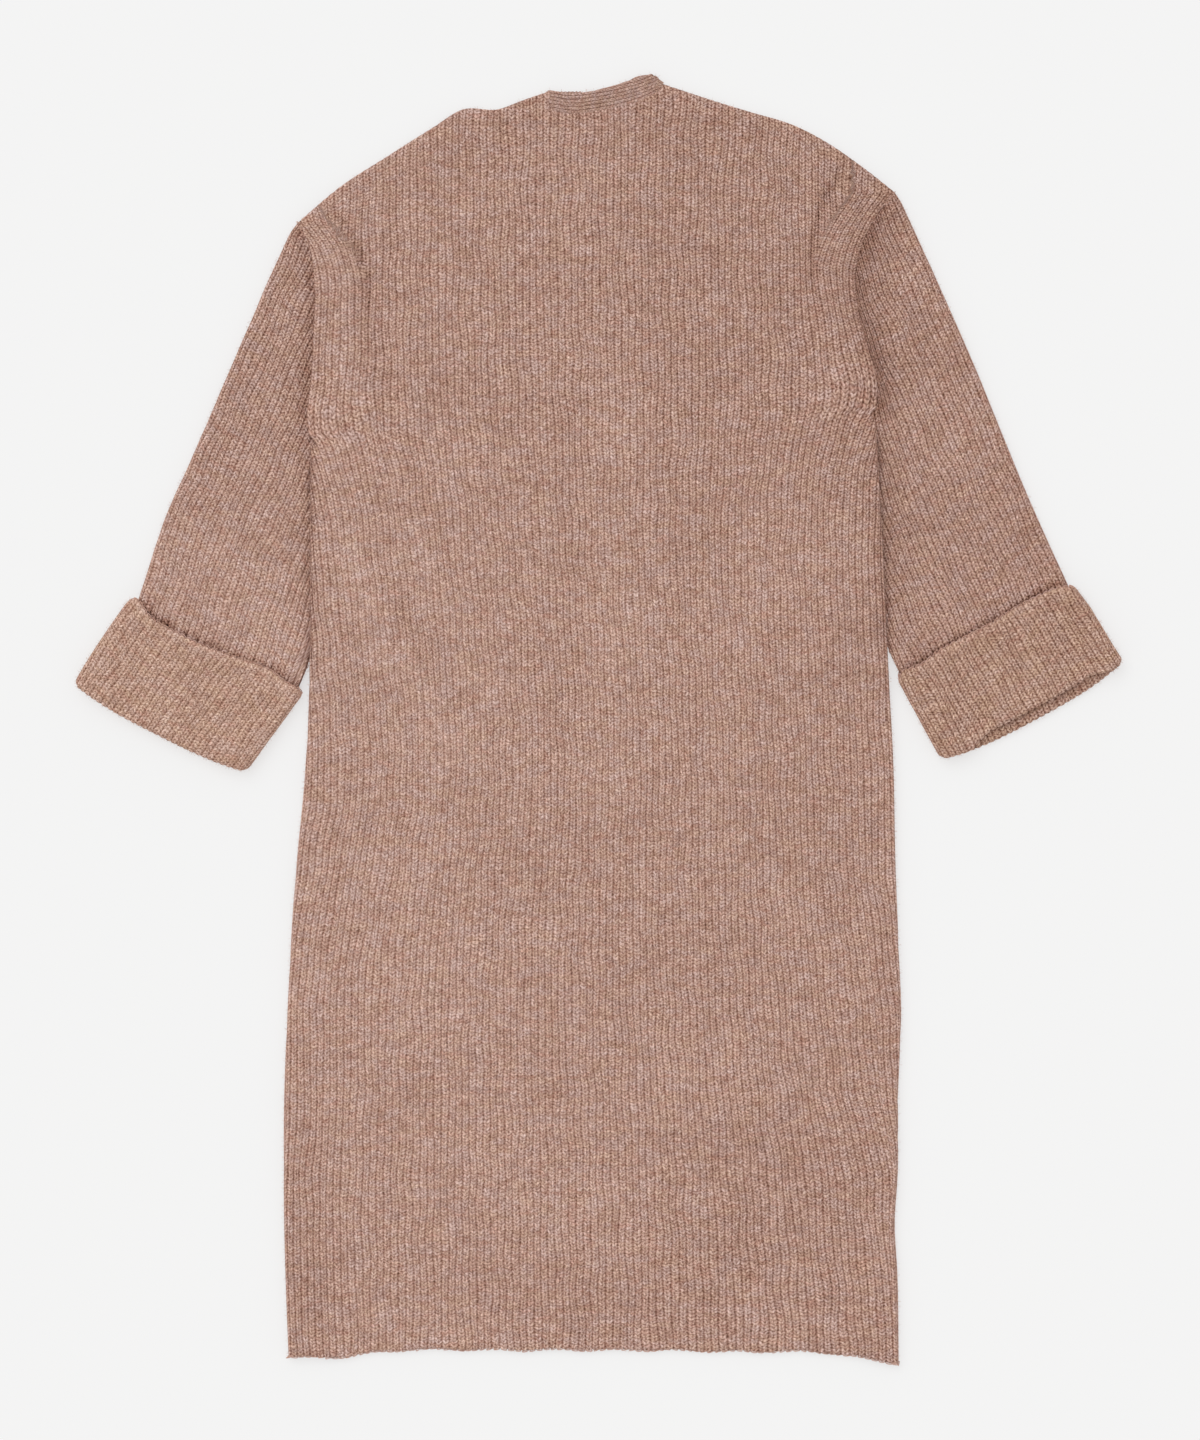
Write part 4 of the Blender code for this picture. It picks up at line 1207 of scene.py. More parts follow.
def cuff(sizes, side):
    """A cuff's wall: from its free edge down to the hem, round it and up inside."""
    sign = SIGNS[side]
    length = cuff_length(side)
    middle = FOLD_R + GAP / 2
    outside = CUFF_R - middle

    # heights over the hem and radii of the rows: down outside, round the hem and up inside
    down = np.concatenate([CUFF_ROWS_AT_EDGE, np.linspace(0.04, 1, CUFF_ROWS)])
    down = length - (length - outside) * down
    turn = math.pi / 2 - math.pi * np.arange(1, 12) / 12
    inward = np.linspace(outside, outside + CUFF_RETURN, 6)
    up = np.concatenate([down, outside - outside * np.cos(turn), inward])
    radius = np.concatenate(
        [0 * down + CUFF_R, middle + outside * np.sin(turn), 0 * inward + FOLD_R - WALL]
    )
    path = np.concatenate([[0], np.cumsum(np.hypot(np.diff(up), np.diff(radius)))])[:, None]
    radius = radius - round_drop(path[:, 0], CUFF_EDGE_ROUND)
    columns = CUFF_WALES * COLUMNS_PER_WALE
    shares = np.arange(columns)[None, :] / columns
    peel = CUFF_PEELS[side]

    # the free edge sags and the hem peels back on top, and both have rounded corners
    base_w, base_angle = cuff_ring(side, up[:, None], radius[:, None], shares)[3:]
    from_side = CUFF_R * (1 - np.abs(np.cos(base_angle)))
    from_side = from_side + np.minimum(base_w, 1 - base_w) * (CUFF_WIDTH - 2 * CUFF_R)
    on_top = (shares < 0.5) & (shares > 0)
    back = peel.depth * fall(np.abs(base_w - peel.middle), peel.flat, peel.end) * on_top
    free = np.clip(up[:, None] / length, 0, 1)
    ups = up[:, None] + back * (1 - free) - cuff_sag(side, base_w) * free**2 * on_top
    ups = ups + (round_drop(from_side, HEM_CORNER) + HEM_RISES[side] * base_w) * (1 - free) ** 6
    ups = ups - round_drop(from_side, EDGE_CORNERS[side]) * free**6
    x, y, z, w, angle = cuff_ring(side, ups, radius[:, None], shares)

    # the cuff stands off the sleeve at its free edge
    standing_off = fall(path, 0, CUFF_OPEN_REACH)
    bulge = CUFF_FLARES[side] * standing_off + CUFF_BULGES[side] * bow(free)
    x = x + bulge * np.clip(np.cos(angle), 0, 1)
    z = z + CUFF_OPEN * standing_off * np.clip(np.sin(angle), 0, 1) * (1 - bump(w - 0.5, 0.5))
    z = np.maximum(z, 0.0)

    # the knit's map, whose wander comes back to where it began, and its light
    around = np.arange(columns + 1)[None, :]
    wales = CUFF_WALES * around / columns + 0 * path
    there_and_back = np.abs(2 * (around / columns) - 1)
    wales = wales + stray(CUFF_WALES * CUFF_WALE * there_and_back, path, 5.0 + sign)
    rows = path / COURSE + 0.4 * sway(around * 1.2, path, 5.0 + sign)
    # painted shade inside the return, a painted highlight at the free edge, and the sleeve's painted light
    inside = ease((path - length - 4) / 8)
    shade = (1 - 0.1 * inside + EDGE_HIGHLIGHT * fall(path, 2, 8)) * SLEEVE_LIGHTS[side]
    points = stack(sign * x, y, z)
    return shell(
        "cuff_" + side, sizes, points, sign * wales, rows, shade + 0 * x, -sign, ring=True,
        line="cast off", ochre=CUFF_OCHRE,
    )


# ------------------------------------------------------------------------------------------- shells


def table_shift():
    """From the tables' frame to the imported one, in mm: the back's shoulder and neck corner is in both."""
    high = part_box("back")[1] / MM
    return np.array([high.x - (SHOULDERS["right"][-1].x - SEAM), high.y - SHOULDERS["right"][0].y, 0])


def rib(wales, height):
    """Height of the knit's face over its mean: round crests, and narrow valleys at whole numbers."""
    crest = 2 * np.abs(wales - np.round(wales))
    return height * (0.42 - (1 - crest) ** 2.0 - 0.14 * ease((crest - 0.7) / 0.3))


def grid_normals(points, ring):
    """Unit normals of a grid of points, columns by rows."""
    if ring:
        wide = np.concatenate([points[:, -1:], points, points[:, :1]], axis=1)
        across = wide[:, 2:] - wide[:, :-2]
    else:
        across = np.gradient(points, axis=1)
    along = np.gradient(points, axis=0)
    normals = np.cross(across, along)
    return normals / np.maximum(np.linalg.norm(normals, axis=2, keepdims=True), 1e-9)


def coarse(count, step, ring=False):
    """Every so many of a row of indices, with the last one kept on an open row."""
    picked = list(range(0, count, step))
    if not ring and picked[-1] != count - 1:
        picked.append(count - 1)
    return picked


def rim(outer, inner, picks):
    """Triangles between a fine border and the coarse border inside it, whose points sit at the picks."""
    faces = []
    for n in range(len(picks) - 1):
        i, j = picks[n], picks[n + 1]
        a, b = inner[n], inner[n + 1]
        middle = (i + j) // 2
        for k in range(i, j):
            faces.append((outer[k + 1], outer[k], a if k < middle else b))
        faces.append((a, b, outer[middle]))
    return faces


def borders(fine, rough, row_picks, column_picks, ring):
    """Border lines of a fine grid and of the coarse one behind it, with the picks between them."""
    last_row, last_column = fine.shape[0] - 1, fine.shape[1] - 1
    lines = [
        (fine[0], rough[0], column_picks),
        (fine[-1, ::-1], rough[-1, ::-1], [last_column - pick for pick in column_picks[::-1]]),
    ]
    if not ring:
        lines.append((fine[:, -1], rough[:, -1], row_picks))
        lines.append((fine[::-1, 0], rough[::-1, 0], [last_row - pick for pick in row_picks[::-1]]))
    return lines


def quads(index):
    """The quads of a grid of indices."""
    corners = [index[:-1, :-1], index[:-1, 1:], index[1:, 1:], index[1:, :-1]]
    return np.stack(corners, axis=-1).reshape(-1, 4)


def wall_faces(fine, rough, row_picks, column_picks, ring, facing):
    """Faces of a wall by their indices: quads of its fine and its coarse grid, triangles of its rim."""
    lines = borders(fine, rough, row_picks, column_picks, ring)
    rims = np.array([face for line in lines for face in rim(*line)])
    return [faces[:, ::facing] for faces in (quads(fine), quads(rough)[:, ::-1], rims)]


def loop_grid(first, rows, columns, ring):
    """A grid of indices from a first one, whose first column comes again at the end of a ring."""
    index = first + np.arange(rows * columns).reshape(rows, columns)
    return np.concatenate([index, index[:, :1]], axis=1) if ring else index


def set_values(mesh, name, kind, values):
    """Adds an attribute to a mesh's points."""
    mesh.attributes.new(name, kind, "POINT").data.foreach_set("value", values)


def shell(
    name, sizes, points, wales, courses_up, shade, facing, ring=False, ribs=1.0, line=None, ochre=0.0
):
    """A closed wall of knit: a fine outer face with ribs, a coarse inner face and the rim between them.

    The line is a mark on the points of the first row, where loops or stitches are set later, and ochre
    is how much more of that colour the piece has.
    """
    rows, columns = points.shape[:2]
    wide = columns + 1 if ring else columns
    relief = rib(np.broadcast_to(wales, (rows, wide))[:, :columns], sizes.rib_height / MM) * ribs
    normals = grid_normals(points, ring) * facing
    outer = points + normals * relief[:, :, None]
    outer[:, :, 2] = np.maximum(outer[:, :, 2], 0.0)
    row_picks = coarse(rows, INNER_ROW_STEP)
    column_picks = coarse(columns, COLUMNS_PER_WALE, ring)
    inner = (points - normals * (WALL * INNER_SHARE))[np.ix_(row_picks, column_picks)]
    inner[:, :, 2] = np.maximum(inner[:, :, 2], INNER_LOWEST)
    places = np.concatenate([outer.reshape(-1, 3), inner.reshape(-1, 3)]) + table_shift()

    wide_picks = column_picks + [columns] if ring else column_picks
    fine = loop_grid(0, rows, columns, ring)
    rough = loop_grid(rows * columns, len(row_picks), len(column_picks), ring)
    faces = wall_faces(fine, rough, row_picks, wide_picks, ring, facing)
    mesh = bpy.data.meshes.new(name)
    mesh.from_pydata((places * MM).tolist(), [], [face for part in faces for face in part.tolist()])

    # the map has a place for each point of the fine grid, and the seam of a ring has two
    keys = np.arange(rows * wide).reshape(rows, wide)
    rough_keys = keys[np.ix_(row_picks, wide_picks)]
    loops = [part.ravel() for part in wall_faces(keys, rough_keys, row_picks, wide_picks, ring, facing)]
    knit = [np.broadcast_to(values, (rows, wide)).ravel() for values in (wales, courses_up)]
    knit = np.stack(knit, axis=1)[np.concatenate(loops)]
    mesh.uv_layers.new(name="knit").data.foreach_set("uv", knit.astype(np.float32).ravel())

    shade = np.broadcast_to(shade, (rows, columns))
    shades = np.concatenate([shade.ravel(), shade[np.ix_(row_picks, column_picks)].ravel()])
    set_values(mesh, "shade", "FLOAT", shades.astype(np.float32))
    set_values(mesh, "ochre", "FLOAT", np.full(len(places), ochre, np.float32))
    if line:
        set_values(mesh, line, "BOOLEAN", np.arange(len(places)) < columns)
    obj = bpy.data.objects.new(name + "_knit", mesh)
    bpy.context.scene.collection.objects.link(obj)
    mesh.shade_smooth()
    mesh.set_sharp_from_angle(angle=math.radians(SHARP_ANGLE))
    return obj


# ---------------------------------------------------------------------------------------- materials


def add(tree, kind, inputs=None, **settings):
    """A node with its settings, and its inputs given as values or as the sockets that feed them."""
    node = tree.nodes.new(kind)
    for key, value in settings.items():
        setattr(node, key, value)
    for key, value in (inputs or {}).items():
        if isinstance(value, bpy.types.NodeSocket):
            tree.links.new(value, node.inputs[key])
        else:
            node.inputs[key].default_value = value
    return node


def sums(tree, operation, *values):
    """The result of a Math node."""
    return add(tree, "ShaderNodeMath", dict(enumerate(values)), operation=operation).outputs[0]


def smooth_step(tree, value, low, high, start=0.0, end=1.0):
    """A smooth change between two results, while a value goes from low to high."""
    inputs = {"Value": value, "From Min": low, "From Max": high, "To Min": start, "To Max": end}
    node = add(tree, "ShaderNodeMapRange", inputs, interpolation_type="SMOOTHSTEP")
    return node.outputs["Result"]


def blend_colours(tree, share, first, second, kind="MIX"):
    """Two colours mixed or multiplied by a share, with the Mix node's sockets for colours."""
    inputs = {0: share, 6: first, 7: second}
    return add(tree, "ShaderNodeMix", data_type="RGBA", blend_type=kind, inputs=inputs).outputs[2]


def parts(tree, whole):
    """The three sockets of a vector's parts."""
    return add(tree, "ShaderNodeSeparateXYZ", {0: whole}).outputs


def vector(tree, x=0.0, y=0.0, z=0.0):
    """A vector from its parts."""
    return add(tree, "ShaderNodeCombineXYZ", {0: x, 1: y, 2: z}).outputs[0]


def group(name, inputs, outputs, kind="ShaderNodeTree"):
    """An empty node group with named sockets. It returns the tree, its inputs and its output node."""
    tree = bpy.data.node_groups.new(name, kind)
    for label, socket_kind, *value in inputs:
        socket = tree.interface.new_socket(label, in_out="INPUT", socket_type="NodeSocket" + socket_kind)
        if value:
            socket.default_value = value[0]
    for label, socket_kind in outputs:
        tree.interface.new_socket(label, in_out="OUTPUT", socket_type="NodeSocket" + socket_kind)
    start = tree.nodes.new("NodeGroupInput")
    end = tree.nodes.new("NodeGroupOutput")
    return tree, start.outputs, end


def noise(tree, place, name):
    """One of the noises over the knit, between 0 and 1."""
    across, along, seed, detail, roughness = NOISES[name]
    inputs = {"Vector": place, "Location": (seed, seed * 1.7, seed * 0.6), "Scale": (across, along, 1.0)}
    moved = add(tree, "ShaderNodeMapping", inputs).outputs[0]
    inputs = {"Vector": moved, "Scale": 1.0, "Detail": detail, "Roughness": roughness}
    return add(tree, "ShaderNodeTexNoise", inputs, noise_dimensions="2D").outputs[0]


def swing(tree, place, name):
    """One of the noises round 0."""
    return sums(tree, "SUBTRACT", noise(tree, place, name), 0.5)


def from_middle(tree, value):
    """1 at whole numbers, 0 halfway between them."""
    fraction = sums(tree, "FRACT", value)
    return sums(tree, "MULTIPLY", sums(tree, "ABSOLUTE", sums(tree, "SUBTRACT", fraction, 0.5)), 2.0)


def give(tree, node, results):
    """Links results to a node's inputs."""
    for label, socket in results.items():
        tree.links.new(socket, node.inputs[label])


def stitch_group():
    """Chevron stitches on each wale, whose tone has painted shade in the valleys and painted light on the
    crests. The place counts wales and courses.
    """
    tree, given, end = group(
        "rib stitches",
        [
            ("Place", "Vector"),
            ("Slope", "Float", 0.55),
            ("Wander", "Float", 0.3),
            ("Valley", "Float", 0.52),
            ("Depth", "Float", 1.0),
        ],
        [("Height", "Float"), ("Tone", "Float"), ("Stitch", "Float")],
    )
    place = given["Place"]
    split = parts(tree, place)
    across = sums(tree, "MULTIPLY_ADD", swing(tree, place, "wander"), given["Wander"], split["X"])
    own = add(tree, "ShaderNodeTexWhiteNoise", {"W": sums(tree, "FLOOR", across)}, noise_dimensions="1D")
    along = sums(tree, "MULTIPLY_ADD", swing(tree, place, "jitter"), JITTER, split["Y"])
    along = sums(tree, "MULTIPLY_ADD", own.outputs["Value"], WALE_OFFSET, along)

    # each stitch is a strand that rises from the valley to the crest
    off = from_middle(tree, across)
    rise = smooth_step(tree, off, 0.0, RISE_END, 0.0, given["Slope"])
    level = sums(tree, "SUBTRACT", along, rise)
    phase = sums(tree, "MULTIPLY_ADD", swing(tree, place, "ragged"), RAGGED, level)
    gap = from_middle(tree, phase)
    strand = sums(tree, "SUBTRACT", 1.0, sums(tree, "POWER", gap, STRAND_SHARPNESS))

    valley = smooth_step(tree, off, given["Valley"], 1.0)
    crest = smooth_step(tree, off, 0.0, CREST_END)
    height = sums(tree, "MULTIPLY", strand, sums(tree, "MULTIPLY_ADD", valley, VALLEY_DEPTH, 1.0))
    height = sums(tree, "MULTIPLY_ADD", crest, CREST_HEIGHT, height)

    # painted light on the crests, painted shade in the valleys and between the strands
    body = sums(tree, "MULTIPLY_ADD", crest, *CREST_LIGHT)
    between = sums(tree, "MULTIPLY_ADD", strand, *VALLEY_BY_STRAND)
    body = sums(tree, "MULTIPLY_ADD", sums(tree, "MULTIPLY", valley, between), VALLEY_SHADE, body)
    uneven = sums(tree, "SUBTRACT", strand, MEAN_STRAND)
    contrast = sums(tree, "MULTIPLY_ADD", crest, *CONTRAST_BY_CREST)
    tone = sums(tree, "MULTIPLY", body, sums(tree, "MULTIPLY_ADD", uneven, contrast, 1.0))
    tone = sums(tree, "POWER", sums(tree, "MAXIMUM", tone, DARKEST_STITCH), given["Depth"])

    half_wale = sums(tree, "FLOOR", sums(tree, "MULTIPLY", across, 2.0))
    cell = vector(tree, half_wale, sums(tree, "FLOOR", phase))
    chance = add(tree, "ShaderNodeTexWhiteNoise", {"Vector": cell}).outputs["Value"]
    give(tree, end, {"Height": height, "Tone": tone, "Stitch": chance})
    return tree


def melange_group():
    """Yarn spun from several colours, which come up in short streaks and single stitches."""
    tree, given, end = group(
        "melange yarn",
        [
            ("Place", "Vector"),
            ("Stitch", "Float", 0.5),
            ("More ochre", "Float", 0.0),
            *((label, "Color") for label in ("Body", "Pale", "Ochre", "Dark")),
        ],
        [("Color", "Color"), ("Level", "Float"), ("Fleck", "Float")],
    )
    place = given["Place"]
    colour = given["Body"]
    for key, (low, high, most) in FIBRE_SHARES.items():
        more = given["More ochre"] if key == "ochre" else 0.0
        share = smooth_step(tree, noise(tree, place, key), low, high)
        share = sums(tree, "MULTIPLY_ADD", share, most, more)
        colour = blend_colours(tree, share, colour, given[key.capitalize()])

    level = sums(tree, "MULTIPLY_ADD", given["Stitch"], *STITCH_LIGHT)
    changes = {key: noise(tree, place, key) for key in NOISE_LIGHT}
    for key, change in changes.items():
        light = sums(tree, "MULTIPLY_ADD", change, *NOISE_LIGHT[key])
        level = sums(tree, "MULTIPLY", level, light)
    give(tree, end, {"Color": colour, "Level": level, "Fleck": changes["fibre"]})
    return tree


def wool(name, colours):
    """A matt material with the soft edge light of wool. It returns the material, its tree and shader."""
    material = bpy.data.materials.new(name)
    material.use_nodes = True
    shader = material.node_tree.nodes["Principled BSDF"]
    shader.inputs["Roughness"].default_value = 0.95
    shader.inputs["Specular IOR Level"].default_value = 0.2
    shader.inputs["Sheen Weight"].default_value = 0.2
    shader.inputs["Sheen Roughness"].default_value = 0.6
    shader.inputs["Sheen Tint"].default_value = (*colours.pale, 1.0)
    return material, material.node_tree, shader


def set_yarn(node, colours, warmth=1.0):
    """Gives a melange node the yarn's colours."""
    for key in ("body", "pale", "ochre", "dark"):
        colour = (channel * warmth for channel in getattr(colours, key))
        node.inputs[key.capitalize()].default_value = (*colour, 1.0)


def set_colour(tree, shader, fibres, red, green, blue):
    """Colours a shader with a melange node's colour, times a tone of each channel."""
    grey = add(tree, "ShaderNodeCombineColor", {0: red, 1: green, 2: blue}).outputs[0]
    colour = blend_colours(tree, 1.0, fibres.outputs["Color"], grey, "MULTIPLY")
    tree.links.new(colour, shader.inputs["Base Color"])


def knit_material(name, colours, groups, slope, valley, warmth=1.0):
    """A matt wool material from the two groups, read along the piece's own UV map."""
    stitches, yarn = groups
    material, tree, shader = wool(name, colours)
    place = add(tree, "ShaderNodeUVMap", uv_map="knit").outputs[0]
    light = add(tree, "ShaderNodeAttribute", attribute_name="shade").outputs["Fac"]
    more = add(tree, "ShaderNodeAttribute", attribute_name="ochre").outputs["Fac"]
    depth = sums(tree, "MULTIPLY_ADD", light, DEPTH_BY_LIGHT, DEPTH_IN_DARK)
    relief = add(tree, "ShaderNodeGroup", node_tree=stitches)
    give(tree, relief, {"Place": place, "Depth": depth})
    relief.inputs["Slope"].default_value = slope
    relief.inputs["Valley"].default_value = valley
    fibres = add(tree, "ShaderNodeGroup", node_tree=yarn)
    give(tree, fibres, {"Place": place, "Stitch": relief.outputs["Stitch"], "More ochre": more})
    set_yarn(fibres, colours, warmth)

    # the piece's painted shade and light, from its shade attribute, scale the stitches' tone
    tone = sums(tree, "MULTIPLY", relief.outputs["Tone"], light)
    tone = sums(tree, "MULTIPLY", tone, fibres.outputs["Level"])
    held_back = sums(tree, "MULTIPLY_ADD", tone, ROLL_OFF, 1.0)
    tone = sums(tree, "DIVIDE", sums(tree, "MULTIPLY", tone, 1.0 + ROLL_OFF), held_back)
    red = sums(tree, "POWER", tone, RED_CONTRAST)
    blue = sums(tree, "POWER", tone, BLUE_CONTRAST)
    set_colour(tree, shader, fibres, red, tone, blue)

    fleck = fibres.outputs["Fleck"]
    height = sums(tree, "MULTIPLY_ADD", fleck, FLECK_HEIGHT, relief.outputs["Height"])
    inputs = {"Height": height, "Strength": BUMP_STRENGTH, "Distance": BUMP_DEPTH}
    tree.links.new(add(tree, "ShaderNodeBump", inputs).outputs[0], shader.inputs["Normal"])
    return material


def yarn_material(name, colours, yarn):
    """The same wool for single loops, stitches and fibres, whose colours change along the piece."""
    material, tree, shader = wool(name, colours)
    place = add(tree, "ShaderNodeTexCoord").outputs["Object"]
    inputs = {0: place, "Scale": YARN_SCALE}
    place = add(tree, "ShaderNodeVectorMath", inputs, operation="SCALE").outputs[0]
    fibres = add(tree, "ShaderNodeGroup", node_tree=yarn)
    give(tree, fibres, {"Place": place})
    set_yarn(fibres, colours)
    level = sums(tree, "MULTIPLY_ADD", fibres.outputs["Level"], *LOOSE_LIGHT)
    set_colour(tree, shader, fibres, level, level, level)
    return material


def knit_of(slot, context):
    """The knit of one of the record's slots. Both, and their loose yarn, are made at the first call."""
    if "rib knit" not in bpy.data.materials:
        colours = context.scene.cardigan_colours
        groups = stitch_group(), melange_group()
        knit_material("rib knit", colours, groups, slope=0.55, valley=0.5)
        knit_material("band knit", colours, groups, slope=0.5, valley=0.45, warmth=BAND_WARMTH)
        yarn_material("loose yarn", colours, groups[1])
    return bpy.data.materials[slot.replace("_", " ")]


# ---------------------------------------------------------------------------------- loops and fibres


def random_number(tree, limits, seed, number):
    """A number for each point, the same at every run; each number of the same seed is another one."""
    seed = sums(tree, "ADD", seed, number)
    node = add(tree, "FunctionNodeRandomValue", {"Seed": seed, 2: limits[0], 3: limits[1]})
    return node.outputs[1]


def random_vector(tree, limits, seed):
    """A vector for each point."""
    inputs = {**limits, "Seed": seed}
    return add(tree, "FunctionNodeRandomValue", inputs, data_type="FLOAT_VECTOR").outputs[0]


def place_parts(tree):
    """The parts of each point's place."""
    return parts(tree, add(tree, "GeometryNodeInputPosition").outputs[0])


def yarn_on_points(tree, end, given, points, path, sides, thickness, facing, size, caps=False):
    """Ends a tree with real tubes of yarn, one along the same path on each point."""
    radius = sums(tree, "MULTIPLY", thickness, 0.5)
    section = add(tree, "GeometryNodeCurvePrimitiveCircle", {"Resolution": sides, "Radius": radius})
    inputs = {"Curve": path, "Profile Curve": section.outputs[0], "Fill Caps": caps}
    tube = add(tree, "GeometryNodeCurveToMesh", inputs).outputs[0]
    inputs = {"Points": points, "Instance": tube, "Rotation": facing, "Scale": size}
    placed = add(tree, "GeometryNodeInstanceOnPoints", inputs).outputs[0]
    real = add(tree, "GeometryNodeRealizeInstances", {"Geometry": placed}).outputs[0]
    inputs = {"Geometry": real, "Material": given["Material"]}
    tree.links.new(add(tree, "GeometryNodeSetMaterial", inputs).outputs[0], end.inputs[0])
    return tree


def chain_tree():
    """A chain of small loops of yarn along the marked line of a knit mesh."""
    tree, given, end = group(
        "chain of loops",
        [
            ("Mesh", "Geometry"),
            ("Line", "String", "cast off"),
            ("Loops", "Int", 80),
            ("Length", "Float", 0.004),
            ("Width", "Float", 0.0016),
            ("Yarn", "Float", 0.0008),
            ("Lowest", "Float", 0.001),
            ("Seed", "Int", 1),
            ("Material", "Material"),
        ],
        [("Mesh", "Geometry")],
        "GeometryNodeTree",
    )
    marks = add(tree, "GeometryNodeInputNamedAttribute", {"Name": given["Line"]}, data_type="BOOLEAN")
    inputs = {"Mesh": given["Mesh"], "Selection": marks.outputs["Attribute"]}
    line = add(tree, "GeometryNodeMeshToCurve", inputs).outputs[0]
    inputs = {"Curve": line, "Start": CHAIN_ENDS[0], "End": CHAIN_ENDS[1]}
    line = add(tree, "GeometryNodeTrimCurve", inputs).outputs[0]
    spaced = add(tree, "GeometryNodeCurveToPoints", {"Curve": line, "Count": given["Loops"]}).outputs
    place = place_parts(tree)
    lifted = vector(tree, place[0], place[1], sums(tree, "MAXIMUM", place[2], given["Lowest"]))
    inputs = {"Geometry": spaced["Points"], "Position": lifted}
    points = add(tree, "GeometryNodeSetPosition", inputs).outputs[0]

    way = parts(tree, spaced["Tangent"])
    turn = {"Min": tuple(-part for part in LOOP_TURN), "Max": LOOP_TURN}
    inputs = {0: vector(tree, way[0], way[1]), 1: random_vector(tree, turn, given["Seed"])}
    uneven = add(tree, "ShaderNodeVectorMath", inputs).outputs[0]
    facing = add(tree, "FunctionNodeAlignRotationToVector", {"Vector": uneven}, axis="X").outputs[0]
    size = random_number(tree, LOOP_SCALE, given["Seed"], 1)

    circle = add(tree, "GeometryNodeCurvePrimitiveCircle", {"Resolution": 10, "Radius": 0.5})
    inputs = {
        "Geometry": circle.outputs[0], "Scale": vector(tree, given["Length"], given["Width"], 1.0)
    }
    oval = add(tree, "GeometryNodeTransform", inputs).outputs[0]
    return yarn_on_points(tree, end, given, points, oval, 4, given["Yarn"], facing, size)


def fibre_tree():
    """Loose fibres on the upper side of a knit mesh: many where it turns away, few on its flat."""
    tree, given, end = group(
        "loose fibres",
        [
            ("Mesh", "Geometry"),
            ("Edge density", "Float", 300000.0),
            ("Flat density", "Float", 8000.0),
            ("Length", "Float", 0.0022),
            ("Thickness", "Float", 0.00011),
            ("Lowest", "Float", 0.0015),
            ("Seed", "Int", 1),
            ("Material", "Material"),
        ],
        [("Mesh", "Geometry")],
        "GeometryNodeTree",
    )
    up = parts(tree, add(tree, "GeometryNodeInputNormal").outputs[0])["Z"]
    high = place_parts(tree)["Z"]
    density = sums(tree, "MULTIPLY", smooth_step(tree, up, FLAT, STEEP), given["Edge density"])
    density = sums(tree, "ADD", density, given["Flat density"])
    density = sums(tree, "MULTIPLY", density, sums(tree, "GREATER_THAN", up, TURNED_UNDER))
    density = sums(tree, "MULTIPLY", density, sums(tree, "GREATER_THAN", high, given["Lowest"]))
    inputs = {"Mesh": given["Mesh"], "Density": density, "Seed": given["Seed"]}
    roots = add(
        tree, "GeometryNodeDistributePointsOnFaces", inputs, distribute_method="RANDOM"
    ).outputs

    inputs = {0: roots["Normal"], 1: FIBRE_OUTWARDS}
    outwards = add(tree, "ShaderNodeVectorMath", inputs, operation="MULTIPLY").outputs[0]
    inputs = {0: outwards, 1: random_vector(tree, FIBRE_LEAN, given["Seed"])}
    way = add(tree, "ShaderNodeVectorMath", inputs).outputs[0]
    spin = vector(tree, z=random_number(tree, (0.0, FULL_TURN), given["Seed"], 2))
    spun = add(tree, "FunctionNodeEulerToRotation", {0: spin}).outputs[0]
    inputs = {"Rotation": spun, "Vector": way}
    facing = add(tree, "FunctionNodeAlignRotationToVector", inputs, axis="Z").outputs[0]
    size = sums(tree, "MULTIPLY", random_number(tree, FIBRE_SCALE, given["Seed"], 3), given["Length"])

    arc = add(tree, "GeometryNodeCurveQuadraticBezier", {"Resolution": 3, **FIBRE_ARC}).outputs[0]
    thickness = sums(tree, "DIVIDE", given["Thickness"], given["Length"])
    return yarn_on_points(
        tree, end, given, roots["Points"], arc, 3, thickness, facing, size, caps=True
    )


def grow(name, panel, tree, values):
    """The plain mesh that a tree of loops or fibres makes on a panel, as an object of its own."""
    obj = bpy.data.objects.new(name, panel.data.copy())
    bpy.context.scene.collection.objects.link(obj)
    modifier = obj.modifiers.new(name, "NODES")
    modifier.node_group = tree
    for socket in tree.interface.items_tree:
        if socket.in_out == "INPUT" and socket.name in values:
            modifier[socket.identifier] = values[socket.name]
    graph = bpy.context.evaluated_depsgraph_get()
    made = bpy.data.meshes.new_from_object(obj.evaluated_get(graph))
    if not made.polygons:
        raise RuntimeError(name + " came out empty")
    places = np.empty(len(made.vertices) * 3, np.float32)
    made.vertices.foreach_get("co", places)
    places[2::3] = np.maximum(places[2::3], 0.0)  # nothing goes below the floor
    made.vertices.foreach_set("co", places)
    obj.modifiers.remove(modifier)
    started = obj.data
    obj.data = made
    bpy.data.meshes.remove(started)
    return obj


def tree_of(name, maker):
    """A node tree, made at its first use."""
    return bpy.data.node_groups.get(name) or maker()


def loose_yarn(panel, seed, chain):
    """The chain, if there is one, and the fibres on a panel, each tied to the frame's root body."""
    yarn = {"Seed": seed, "Material": bpy.data.materials["loose yarn"]}
    name = panel.name.removesuffix("_knit") + "_"
    made = []
    if chain:
        line, loops = chain
        values = {"Line": line, "Loops": loops, **CHAINS[line], **yarn}
        tree = tree_of("chain of loops", chain_tree)
        made.append(grow(name + line.replace(" ", "_"), panel, tree, values))
    made.append(grow(name + "fibres", panel, tree_of("loose fibres", fibre_tree), yarn))
    for obj in made:
        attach(obj, "root")
    return made


# --------------------------------------------------------------------------------------- operators


def size_setting(name, description, default):
    """A length for the sidebar."""
    return bpy.props.FloatProperty(
        name=name, description=description, default=default, unit="LENGTH", precision=4
    )


def colour_setting(name, description, default):
    """A colour for the sidebar."""
    return bpy.props.FloatVectorProperty(
        name=name, description=description, default=default, subtype="COLOR", size=3
    )


